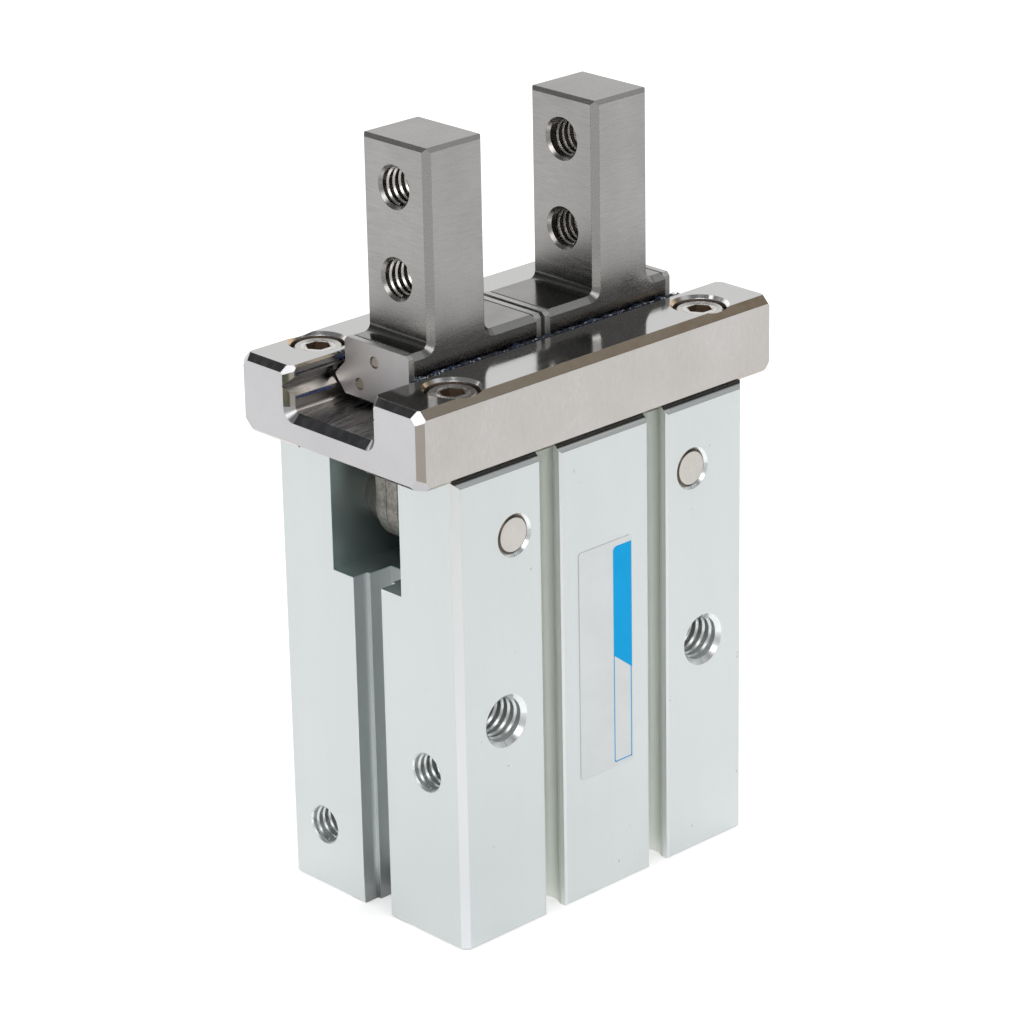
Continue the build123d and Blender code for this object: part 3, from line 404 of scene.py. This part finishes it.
def finger_steel():
    """Fine-ground darker steel, with a surface grinder's faint level streaks, broken edges painted lighter as
    a painted highlight, and painted shade at its root and in its bores.
    """
    coat = Finish("finger_steel", (0.36, 0.352, 0.345), 1.0, 0.28)
    streak = coat.grain(3400, (0.10, 0.10, 1))
    speck = coat.grain(6000, EVEN, 2)
    cloud = coat.grain(150, (1, 1, 0.6), 4)
    edge = coat.chamfers()
    height = coat.axis(coat.place, "Z")
    tone = coat.weighed((streak, 0.45), (cloud, 0.35), (speck, 0.2))
    skin = coat.tint(coat.past(tone, (0.36, 0.64)), (0.305, 0.298, 0.29), (0.395, 0.388, 0.38))
    # The chamfers are painted lighter than the faces as a painted highlight, lightest at the base, and the
    # countersinks a little lighter too.
    broken = coat.tint(coat.before(height, BASE_EDGES), (0.50, 0.485, 0.47), (0.54, 0.545, 0.525))
    skin = coat.tint(edge, skin, broken)
    skin = coat.tint(coat.cones("X", edge), skin, (0.42, 0.405, 0.39))
    # Painted shade: the fillet at the finger's root is painted half as bright.
    root = coat.times(coat.before(coat.lean("Y"), (0.3, 0.5)), coat.past(height, ROOT_FOOT),
                      coat.before(height, ROOT_HEAD))
    skin = coat.scaled(skin, coat.mix(root, 1.0, 0.5))
    # Painted shade: the walls of the threaded bores, between the thread ridges, are painted dark.
    bore = coat.times(coat.before(coat.off_middle("Y"), BORE_SIDE), coat.before(coat.lean("X"), (0.3, 0.4)),
                      coat.past(height, BORES_FOOT), coat.before(height, BORES_HEAD))
    skin = coat.tint(bore, skin, (0.13, 0.12, 0.11))
    # Painted shade darkens the finger towards and over its base.
    coat.paint(coat.scaled(skin, coat.spread(height, *ROOT_SHADE, 0.78, 1.0, smooth=True)))
    ground = coat.maths("ADD", streak, speck)
    coat.gloss(coat.mix(coat.level_at(BASE_TOP, 0.4 * MM), coat.spread(ground, 0.7, 1.3, 0.22, 0.32), 0.17))
    coat.emboss(ground, 0.008, 0.3)
    return coat.material


def plain_metal(name, dark, light, rough, scale, depth, stretch=EVEN, rims=None):
    """A metal finish with one grain, which its colour, roughness and relief follow.

    Pieces with countersinks or rounded rims name their axis as rims: those cones are painted dark as painted
    shade in the gap at each pin. About Y they are those of pins, which have no plain chamfers. About X they
    are those of the end plates, whose thin sides are painted paler as a painted highlight.
    """
    coat = Finish(name, light, 1.0, rough[1])
    marks = coat.grain(scale, stretch)
    cloud = coat.grain(210)
    tone = coat.weighed((marks, 0.5), (cloud, 0.5))
    skin = coat.tint(coat.past(tone, (0.36, 0.64)), dark, light)
    if rims:
        # Painted shade: the rim cones are painted dark.
        skin = coat.tint(coat.cones(rims, 0.0 if rims == "Y" else coat.chamfers()), skin, (0.14, 0.115, 0.09))
    if rims == "X":
        # Painted highlight: the thin sides of the end plates are painted paler.
        skin = coat.tint(coat.before(coat.lean("X"), (0.2, 0.3)), skin, (0.66, 0.655, 0.64))
    coat.paint(skin)
    coat.gloss(coat.spread(marks, 0.3, 0.7, *rough))
    coat.emboss(marks, depth, 0.4)
    return coat.material


def screw_steel():
    """Turned screw heads, satin and a little yellow, with darker brown hexagon sockets."""
    coat = Finish("screw_steel", (0.66, 0.64, 0.60), 1.0, 0.3)
    marks = coat.grain(2600)
    sunk = coat.before(coat.axis(coat.place, "Z"), SOCKET_MOUTH)
    skin = coat.tint(coat.past(marks, (0.36, 0.64)), (0.60, 0.585, 0.55), (0.70, 0.685, 0.65))
    coat.paint(coat.tint(sunk, skin, (0.30, 0.215, 0.15)))
    coat.gloss(coat.mix(sunk, coat.spread(marks, 0.3, 0.7, 0.26, 0.36), 0.55))
    coat.emboss(marks, 0.006, 0.4)
    return coat.material


def lever_steel():
    """Stamped and hardened steel, laid up from plates: brown heat tint and the seams between the plates."""
    coat = Finish("lever_steel", (0.5, 0.47, 0.44), 1.0, 0.4)
    shear = coat.grain(1500, (1, 0.15, 1), 4)
    cloud = coat.grain(240)
    rust = coat.grain(1900, EVEN, 4)
    off_seam = coat.maths("ABSOLUTE", coat.maths("SUBTRACT", coat.off_middle("Y"), LEVER_PLATE_HALF))
    plate = coat.past(off_seam, LEVER_SEAM)
    tone = coat.weighed((rust, 0.6), (cloud, 0.4))
    skin = coat.tint(coat.past(tone, (0.38, 0.62)), (0.27, 0.245, 0.22), (0.46, 0.43, 0.40))
    coat.paint(coat.tint(plate, (0.08, 0.07, 0.06), skin))
    coat.gloss(coat.spread(shear, 0.3, 0.7, 0.42, 0.6))
    coat.emboss(coat.weighed((shear, 0.3), (plate, 1.0)), 0.04, 0.5)
    return coat.material


def dark_rubber(name, colour):
    """Moulded rubber with a fine bloom."""
    coat = Finish(name, colour, 0.0, 0.6)
    bloom = coat.grain(900, EVEN, 4)
    pale = tuple(channel * 1.8 + 0.01 for channel in colour)
    coat.paint(coat.tint(coat.past(bloom, (0.4, 0.7)), colour, pale))
    coat.gloss(coat.spread(bloom, 0.3, 0.7, 0.5, 0.75))
    coat.emboss(bloom, 0.02, 0.3)
    return coat.material


def slide_grease(name, dark, light):
    """Guide grease, thick and glossy."""
    coat = Finish(name, light, 0.0, 0.16)
    lumps = coat.grain(1400, (0.5, 1, 1))
    coat.paint(coat.tint(coat.past(lumps, (0.4, 0.65)), dark, light))
    coat.gloss(coat.spread(lumps, 0.3, 0.7, 0.08, 0.2))
    coat.emboss(lumps, 0.08, 0.6)
    return coat.material


def printed_foil(name, colour, rough, sheen=0.5):
    """Matte printed label foil with a faint screen in the ink."""
    coat = Finish(name, colour, 0.0, rough)
    coat.shader.inputs["Specular IOR Level"].default_value = sheen
    ink = coat.grain(4200, EVEN, 2)
    worn = coat.grain(260)
    pale = tuple(min(1.0, channel * 1.05 + 0.004) for channel in colour)
    coat.paint(coat.tint(coat.past(worn, (0.35, 0.7)), colour, pale))
    coat.gloss(coat.spread(ink, 0.3, 0.7, rough - 0.06, rough + 0.06))
    coat.emboss(ink, 0.006, 0.3)
    return coat.material


body_coat = anodised_body()
rail_coat = guide_steel()
finger_coat = finger_steel()
lever_coat = lever_steel()
plate_coat = plain_metal("plate_steel", (0.50, 0.49, 0.49), (0.57, 0.56, 0.565), (0.46, 0.54), 5200, 0.003,
                         rims="X")
nut_coat = plain_metal("nut_steel", (0.52, 0.505, 0.48), (0.62, 0.605, 0.585), (0.2, 0.3), 2600, 0.008)
screw_coat = screw_steel()
plate_pin_coat = plain_metal("plate_pin_steel", (0.36, 0.325, 0.28), (0.47, 0.43, 0.375), (0.4, 0.5), 3200,
                             0.01)
pin_coat = plain_metal("pin_steel", (0.58, 0.555, 0.52), (0.68, 0.655, 0.62), (0.34, 0.46), 3200, 0.01,
                       rims="Y")
# The thread ridges and the socket rims are painted much lighter than the steel round them, as a painted
# highlight.
highlight_coat = plain_metal("painted_highlight_steel", (0.78, 0.755, 0.72), (0.87, 0.845, 0.815), (0.2, 0.3), 1200, 0.003)
body_thread_coat = plain_metal("coated_thread", (0.70, 0.73, 0.72), (0.80, 0.83, 0.82), (0.2, 0.3), 1200,
                               0.003)
spacer_coat = plain_metal("turned_spacer", (0.17, 0.155, 0.14), (0.30, 0.28, 0.255), (0.4, 0.55), 2400, 0.01,
                          (1, 1, 0.2))
bronze_coat = plain_metal("sintered_bronze", (0.36, 0.26, 0.15), (0.52, 0.40, 0.24), (0.4, 0.55), 2800, 0.02)
roller_coat = plain_metal("roller_steel", (0.62, 0.62, 0.63), (0.74, 0.74, 0.75), (0.08, 0.16), 3000, 0.004)
turned_coat = plain_metal("turned_aluminium", (0.66, 0.67, 0.68), (0.75, 0.76, 0.77), (0.25, 0.4), 2200,
                          0.01, UPRIGHT)
rod_coat = plain_metal("ground_rod", (0.58, 0.58, 0.59), (0.68, 0.68, 0.69), (0.1, 0.2), 2600, 0.006,
                       (1, 1, 0.3))
spring_coat = plain_metal("phosphated_spring", (0.05, 0.05, 0.055), (0.11, 0.11, 0.115), (0.4, 0.6), 2600,
                          0.01)
magnet_coat = plain_metal("magnet_stone", (0.06, 0.06, 0.06), (0.12, 0.12, 0.12), (0.45, 0.6), 1800, 0.02)
seal_coat = dark_rubber("seal_rubber", (0.02, 0.02, 0.02))
bumper_coat = dark_rubber("bumper_rubber", (0.10, 0.06, 0.03))
wear_coat = dark_rubber("wear_ring_resin", (0.22, 0.13, 0.06))
grease_coat = slide_grease("blue_grease", (0.006, 0.03, 0.14), (0.015, 0.065, 0.27))
dark_grease_coat = slide_grease("dark_grease", (0.004, 0.005, 0.011), (0.012, 0.021, 0.056))
# Pale drops on the grease are painted pale to stand for glints: painted highlights.
glint_coat = slide_grease("worked_grease_and_glints", (0.20, 0.25, 0.30), (0.62, 0.68, 0.73))
label_coat = printed_foil("label_foil", (0.72, 0.745, 0.75), 0.42)
blue_coat = printed_foil("label_blue", (0.002, 0.39, 0.80), 0.4, 0.1)

coats = {
    "housing": body_coat, "guide_rail": rail_coat, "guide_screws": screw_coat, "lever_pins": pin_coat,
    "lever_spacers": spacer_coat, "cylinder_cap": turned_coat, "cap_seal": seal_coat,
    "retaining_ring": spring_coat, "lower_bumper": bumper_coat, "upper_bumper": bumper_coat,
    "rod_seal": seal_coat, "rod_bush": bronze_coat, "piston": turned_coat, "piston_wear_ring": wear_coat,
    "piston_seal": seal_coat, "magnet_ring": magnet_coat, "magnet_cover": plate_coat,
    "piston_nut": nut_coat, "piston_rod": rod_coat, "cross_pins": pin_coat,
    "lever_left": lever_coat, "lever_right": lever_coat,
    "finger_left": finger_coat, "finger_right": finger_coat,
    "outer_plate_left": plate_coat, "outer_plate_right": plate_coat,
    "inner_plate_left": plate_coat, "inner_plate_right": plate_coat,
    "plate_pins_left": plate_pin_coat, "plate_pins_right": plate_pin_coat,
    "rollers_left_front": roller_coat, "rollers_left_back": roller_coat,
    "rollers_right_front": roller_coat, "rollers_right_back": roller_coat,
}
for name, cad in nodes.items():
    cad.data.materials.clear()
    cad.data.materials.append(coats[name])


# New pieces

def finish_piece(name, mesh, coat, body, smooth=None):
    """Makes the object, gives it its coat and lets it ride on a body."""
    data = bpy.data.meshes.new(name)
    bmesh.ops.recalc_face_normals(mesh, faces=mesh.faces)
    mesh.to_mesh(data)
    mesh.free()
    piece = bpy.data.objects.new(name, data)
    bpy.context.scene.collection.objects.link(piece)
    data.materials.append(coat)
    if smooth is not None:
        for face in data.polygons:
            face.use_smooth = True
        data.set_sharp_from_angle(angle=math.radians(smooth))
    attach(piece, body)


def add_part(mesh, part, place):
    """Moves a part to its place and adds it to a mesh."""
    part.transform(place)
    data = bpy.data.meshes.new("part")
    part.to_mesh(data)
    part.free()
    mesh.from_mesh(data)
    bpy.data.meshes.remove(data)


# Threads: the ridges' pitch goes by the bore's radius in millimetres, and their section by the pitch
THREAD_PITCH = {2.5: 1.0 * MM, 3.0: 1.2 * MM}
THREAD_DEPTH = 0.24
FLANK_START, CREST_START, CREST_END, FLANK_END = 0.06, 0.30, 0.34, 0.48
THREAD_SUNK = 0.01 * MM
THREAD_FROM_MOUTH = 0.28 * MM
STEPS_A_TURN = 30


def thread_ridge(mesh, radius, pitch, length, mouth, inward):
    """One cut thread: a ridge of blunt triangular section wound inside a hole, from its mouth inwards."""
    ridge = bmesh.new()
    root, crest = radius + THREAD_SUNK, radius - THREAD_DEPTH * pitch
    section = [(root, FLANK_START), (crest, CREST_START), (crest, CREST_END), (root, FLANK_END)]
    corners = [ridge.verts.new((r, 0, z * pitch)) for r, z in section]
    ridge.faces.new(corners)
    turns = (length - pitch) / pitch
    steps = int(turns * STEPS_A_TURN)
    bmesh.ops.spin(ridge, geom=ridge.verts[:] + ridge.edges[:] + ridge.faces[:], cent=(0, 0, 0),
                   axis=(0, 0, 1), dvec=(0, 0, turns * pitch / steps), angle=turns * 2 * math.pi, steps=steps)
    bmesh.ops.holes_fill(ridge, edges=[edge for edge in ridge.edges if edge.is_boundary])
    turn = Vector((0, 0, 1)).rotation_difference(Vector(inward)).to_matrix().to_4x4()
    begin = Matrix.Rotation(-math.pi / 2 * abs(inward[1]), 4, "Z")
    add_part(mesh, ridge, Matrix.Translation(Vector(mouth)) @ turn @ begin)


threads = {"finger_left": bmesh.new(), "finger_right": bmesh.new(), "housing": bmesh.new()}
for mount in frame["record"]["mounts"]:
    if mount["kind"] != "threaded_hole":
        continue
    owner = next((name for name in threads if mount["name"].startswith(name)), "housing")
    outward = Vector(mount["axis"]).normalized()
    radius = mount["dims"]["r_mm"]
    length = mount["dims"]["length_mm"] * MM
    mouth = Vector(mount["pos_m"]) + outward * length / 2 - outward * THREAD_FROM_MOUTH
    thread_ridge(threads[owner], radius * MM, THREAD_PITCH[radius], length - 2 * THREAD_FROM_MOUTH, mouth,
                 -outward)
for side in ("left", "right"):
    # The finger threads take the light coat: a painted highlight.
    finish_piece("finger_threads_" + side, threads["finger_" + side], highlight_coat,
                 "finger_" + side + "_unit", 40)
finish_piece("housing_threads", threads["housing"], body_thread_coat, "housing_unit",
             40)


def plate_on_front(mesh, outline, depth, lift):
    """A thin flat shape on the front face, from its corners in X and Z, in millimetres."""
    corners = [mesh.verts.new((x * MM, FRONT - lift * MM, z * MM)) for x, z in outline]
    face = mesh.faces.new(corners)
    made = bmesh.ops.extrude_face_region(mesh, geom=[face])
    moved = [item for item in made["geom"] if isinstance(item, bmesh.types.BMVert)]
    bmesh.ops.translate(mesh, vec=(0, -depth * MM, 0), verts=moved)
    return mesh


def box_outline(x0, x1, z0, z1):
    """The corners of an upright rectangle."""
    return ((x0, z0), (x1, z0), (x1, z1), (x0, z1))


# Label on the front face, in millimetres: a foil with a blue field above an outlined box
FOIL = 0.09
FOIL_LEFT, FOIL_RIGHT, FOIL_FOOT, FOIL_HEAD = -4.95, 4.6, 17.3, 49.4
FOIL_CORNER = 0.5
INK = 0.012
INK_SUNK = 0.002
LINE = 0.16
BOX_LEFT, BOX_RIGHT, BOX_FOOT = 1.2, 4.46, 17.9
BOX_CORNER = 0.2
FIELD_RIGHT, FIELD_HEAD = 4.55, 48.55
FIELD_FOOT_LEFT, FIELD_FOOT_RIGHT = 33.3, 30.7
FIELD_CORNER = ((0.6, 0.0), (0.2, -0.15), (0.0, -0.55))
LINE_IN_FIELD = 0.1
CUT_X, CUT_Z = 0.15, 0.1

foil = plate_on_front(bmesh.new(), box_outline(FOIL_LEFT, FOIL_RIGHT, FOIL_FOOT, FOIL_HEAD), FOIL, 0.0)
upright = [edge for edge in foil.edges if abs(edge.verts[0].co.y - edge.verts[1].co.y) > FOIL / 2 * MM]
bmesh.ops.bevel(foil, geom=upright, offset=FOIL_CORNER * MM, segments=4, profile=0.5, affect="EDGES",
                material=-1)
finish_piece("label_foil", foil, label_coat, "housing_unit")

ink = bmesh.new()
outlines = [
    [(BOX_LEFT, FIELD_FOOT_LEFT), (FIELD_RIGHT, FIELD_FOOT_RIGHT), (FIELD_RIGHT, FIELD_HEAD)]
    + [(BOX_LEFT + x, FIELD_HEAD + z) for x, z in FIELD_CORNER],
    box_outline(BOX_LEFT + BOX_CORNER, BOX_RIGHT, BOX_FOOT, BOX_FOOT + LINE),
    box_outline(BOX_LEFT, BOX_LEFT + LINE, BOX_FOOT + BOX_CORNER, FIELD_FOOT_LEFT),
    box_outline(BOX_RIGHT - LINE, BOX_RIGHT, BOX_FOOT, FIELD_FOOT_RIGHT + LINE_IN_FIELD),
    [(BOX_LEFT, BOX_FOOT + BOX_CORNER), (BOX_LEFT + BOX_CORNER, BOX_FOOT),
     (BOX_LEFT + BOX_CORNER + CUT_X, BOX_FOOT + CUT_Z), (BOX_LEFT + CUT_X, BOX_FOOT + BOX_CORNER + CUT_Z)],
]
for outline in outlines:
    plate_on_front(ink, outline, INK, FOIL - INK_SUNK)
finish_piece("label_ink", ink, blue_coat, "housing_unit")


def bead(mesh, reach, y, z, radius, seed, wander):
    """An uneven bead of grease along X, in millimetres; it swells and wanders with its seed."""
    length = reach[1] - reach[0]
    strand = bmesh.new()
    bmesh.ops.create_cone(strand, cap_ends=True, segments=8, radius1=radius * MM, radius2=radius * MM,
                          depth=length * MM)
    long_edges = [edge for edge in strand.edges if edge.calc_length() > 2.1 * radius * MM]
    bmesh.ops.subdivide_edges(strand, edges=long_edges, cuts=max(int(length * 4), 4), use_grid_fill=True)
    for vert in strand.verts:
        along = vert.co.z / MM
        slow = noise.noise((along * 0.45, seed, 0.0))
        quick = noise.noise((along * 1.4, seed, 3.0))
        swell = 0.75 + 0.9 * slow + 0.5 * quick
        drift = wander * noise.noise((along * 0.7, seed, 7.0))
        vert.co.x = vert.co.x * swell
        vert.co.y = vert.co.y * swell + drift * MM
    place = Matrix.Translation(Vector((sum(reach) / 2 * MM, y * MM, z * MM)))
    add_part(mesh, strand, place @ Matrix.Rotation(math.pi / 2, 4, "Y"))


DROP_SHAPE = (1.7, 1.0, 0.7, 1.0)


def crumbs(mesh, count, reach, y, z, spread, size, seed):
    """Small flattened drops of grease, scattered along X, in millimetres."""
    for index in range(count):
        roll = [noise.noise((index * 3.7, seed, turn * 5.3)) for turn in range(4)]
        share = (index + 0.5 + 3.0 * roll[0]) / count
        drop = bmesh.new()
        bmesh.ops.create_icosphere(drop, subdivisions=1, radius=size * max(0.3, 0.75 + 1.5 * roll[3]) * MM)
        x = reach[0] + (reach[1] - reach[0]) * share
        spot = Vector((x, y + spread * roll[1], z + 0.5 * spread * roll[2])) * MM
        add_part(mesh, drop, Matrix.Translation(spot) @ Matrix.Diagonal(DROP_SHAPE))


# Grease on the rail, in millimetres: along its races, along the finger bases and round their ends
rim_y = CHANNEL_HALF / MM - 0.02
top_z = RAIL_TOP / MM
race_z = RACE_HEIGHT / MM
BASES = (-23.0, 23.0)
RACES = (-30.2, 30.2)
LEFT_RACE, RIGHT_RACE = (-30.2, -24.0), (24.0, 30.2)
LEFT_RACE_CRUMBS, RIGHT_RACE_CRUMBS = (-29.8, -23.6), (23.6, 29.8)
LONG_CRUMBS, LEFT_CRUMBS = (-23.0, 22.6), (-23.4, -17.5)
END_BEAD, END_CRUMBS = (22.6, 23.9), (22.2, 23.5)

grease = bmesh.new()
smear = bmesh.new()
glint_drops = bmesh.new()
for index, side in enumerate((-1, 1)):
    bead(smear, BASES, side * (rim_y - 0.75), top_z - 0.42, radius=0.46, seed=11.0 + index, wander=0.25)
    bead(smear, RACES, side * (rim_y + 0.04), race_z + 1.62, radius=0.16, seed=5.0 + index, wander=0.05)
    for reach, seed in ((LEFT_RACE_CRUMBS, 61.0), (RIGHT_RACE_CRUMBS, 71.0)):
        crumbs(glint_drops, 26, reach, side * (rim_y + 0.04), race_z + 1.66, spread=0.18, size=0.055,
               seed=seed + index)
    for reach, seed in ((LEFT_RACE, 3.0), (RIGHT_RACE, 8.0)):
        bead(grease, reach, side * (rim_y + 0.03), race_z - 1.54, radius=0.15, seed=seed + index, wander=0.02)
    crumbs(glint_drops, 70, LONG_CRUMBS, side * rim_y, top_z + 0.06, spread=0.32, size=0.085, seed=31.0 + index)
    crumbs(glint_drops, 30, LEFT_CRUMBS, side * (rim_y + 0.1), top_z + 0.03, spread=0.55, size=0.075,
           seed=83.0 + index)
    for end in (-1, 1):
        bead(smear, sorted(end * x for x in END_BEAD), side * (rim_y - 0.35), top_z - 0.45, radius=0.36,
             seed=17.0 + index, wander=0.2)
        crumbs(glint_drops, 12, [end * x for x in END_CRUMBS], side * (rim_y - 0.1), top_z + 0.1, spread=0.6,
               size=0.08, seed=47.0 + end + index)
finish_piece("raceway_grease", grease, grease_coat, "housing_unit", 60)
finish_piece("worked_grease_and_glints", smear, dark_grease_coat, "housing_unit", 60)
# The pale drops are painted glints on the grease.
finish_piece("grease_glint_drops", glint_drops, glint_coat, "housing_unit", 60)


# Screw heads, in millimetres: the turned edge round the socket is given as radii and heights over the head
SCREW_HEAD_RADIUS = 3.25
SOCKET_RIM = ((1.74, -0.05), (2.3, -0.05), (2.3, 0.01), (1.92, 0.06))


def socket_rim(mesh, x, y, z):
    """The bright turned edge round one screw's hexagon socket."""
    rim = bmesh.new()
    section = [rim.verts.new((r * MM, 0, h * MM)) for r, h in SOCKET_RIM]
    rim.faces.new(section)
    bmesh.ops.spin(rim, geom=rim.verts[:] + rim.edges[:] + rim.faces[:], cent=(0, 0, 0), axis=(0, 0, 1),
                   angle=2 * math.pi, steps=40, use_merge=True)
    add_part(mesh, rim, Matrix.Translation(Vector((x, y, z)) * MM))


screw_x, screw_y, screw_z = (place / MM for place in SCREW_CORNER)
rims = bmesh.new()
for side in (-1, 1):
    for face in (-1, 1):
        socket_rim(rims, side * (screw_x - SCREW_HEAD_RADIUS), face * (screw_y - SCREW_HEAD_RADIUS), screw_z)
# The socket rims take the light coat: a painted highlight.
finish_piece("screw_socket_rims", rims, highlight_coat, "housing_unit", 30)


# Studio: a pale floor, a white room and one soft box in the world, and the directions in which they lie
TOWARDS_CAMERA = (-0.68, -0.73, 0.0)
BACKDROP = (0.678, 0.735, 0.0)
SOFT_BOX = (-0.528, -0.471, 0.707)
RIGHT_WALL = (0.628, -0.377, 0.681)


def pale_floor():
    """A large floor that shows white to the camera and in reflections, and still takes the shadow."""
    sheet = bmesh.new()
    bmesh.ops.create_grid(sheet, x_segments=1, y_segments=1, size=6.0)
    data = bpy.data.meshes.new("floor")
    sheet.to_mesh(data)
    sheet.free()
    floor = bpy.data.objects.new("floor", data)
    bpy.context.scene.collection.objects.link(floor)
    coat = Finish("floor_white", (0.80, 0.80, 0.80), 0.0, 1.0)
    coat.shader.inputs["Specular IOR Level"].default_value = 0.0
    coat.shader.inputs["Emission Color"].default_value = (1, 1, 1, 1)
    path = coat.add("ShaderNodeLightPath")
    mirrored = coat.maths("MAXIMUM", path.outputs["Is Glossy Ray"], path.outputs["Is Transmission Ray"])
    nearer = coat.along(coat.place, TOWARDS_CAMERA)
    fall = coat.spread(nearer, 0.07, 0.17, 0.32, -0.25, smooth=True)
    seen = coat.maths("MULTIPLY", path.outputs["Is Camera Ray"], 0.45)
    lift = coat.maths("ADD", seen, coat.maths("MULTIPLY", mirrored, fall))
    coat.feed(lift, coat.shader.inputs["Emission Strength"])
    data.materials.append(coat.material)


def studio_world():
    """A plain white room for light, with a bright backdrop, dimmer sides and one soft box in reflections."""
    world = bpy.data.worlds.new("studio")
    bpy.context.scene.world = world
    world.use_nodes = True
    world.cycles.sampling_method = "NONE"
    room = Nodes(world.node_tree)
    back = world.node_tree.nodes["Background"]
    coords = room.add("ShaderNodeTexCoord")
    look = coords.outputs["Generated"]
    behind = room.along(look, BACKDROP)
    rise = room.axis(look, "Z")
    backdrop = room.maths("MULTIPLY", room.spread(behind, 0.35, 0.72, 0, 0.78, smooth=True),
                          room.spread(rise, 0.62, 0.92, 1, 0, smooth=True))
    overhead = room.spread(room.along(look, SOFT_BOX), 0.90, 0.95, 0, 2.4, smooth=True)
    right_side = room.spread(room.along(look, RIGHT_WALL), 0.80, 0.97, 0, 0.3, smooth=True)
    near_side = room.spread(behind, -0.35, -0.75, 0, 0.3, smooth=True)
    lamps = room.maths("ADD", backdrop, overhead)
    walls = room.maths("ADD", right_side, near_side)
    shaped = room.maths("ADD", room.maths("ADD", lamps, walls), 0.14)
    path = room.add("ShaderNodeLightPath")
    mirrored = room.maths("MAXIMUM", path.outputs["Is Glossy Ray"], path.outputs["Is Transmission Ray"])
    strength = room.add("ShaderNodeMix", data_type="FLOAT")
    room.join(mirrored, strength.inputs["Factor"])
    strength.inputs["A"].default_value = 1.0
    room.join(shaped, strength.inputs["B"])
    room.join(strength.outputs["Result"], back.inputs["Strength"])
    back.inputs["Color"].default_value = (1, 1, 1, 1)


def photo_camera():
    """The camera as it stood for the photograph, worked out from the part's corners."""
    azimuth, elevation, roll = (math.radians(angle) for angle in (-43.2293, 21.7656, -1.1051))
    focal, pixels, sensor = 3876.46, 1024, 36.0
    distance, to_left, down = 0.509376, 0.000299, 0.000884
    middle = Vector((0, 0, 0.05))
    back = Vector((math.sin(azimuth) * math.cos(elevation), -math.cos(azimuth) * math.cos(elevation),
                   math.sin(elevation)))
    right = Vector((0, 0, 1)).cross(back).normalized()
    up = back.cross(right)
    right, up = math.cos(roll) * right + math.sin(roll) * up, math.cos(roll) * up - math.sin(roll) * right
    place = middle + back * distance - right * to_left - up * down
    data = bpy.data.cameras.new("camera")
    data.sensor_fit = "HORIZONTAL"
    data.sensor_width = sensor
    data.lens = focal / pixels * sensor
    data.clip_start = 0.01
    camera = bpy.data.objects.new("camera", data)
    bpy.context.scene.collection.objects.link(camera)
    turn = Matrix((right, up, back)).transposed().to_4x4()
    camera.matrix_world = Matrix.Translation(place) @ turn
    bpy.context.scene.camera = camera


pale_floor()
studio_world()
photo_camera()
bpy.context.scene.view_settings.view_transform = "Standard"
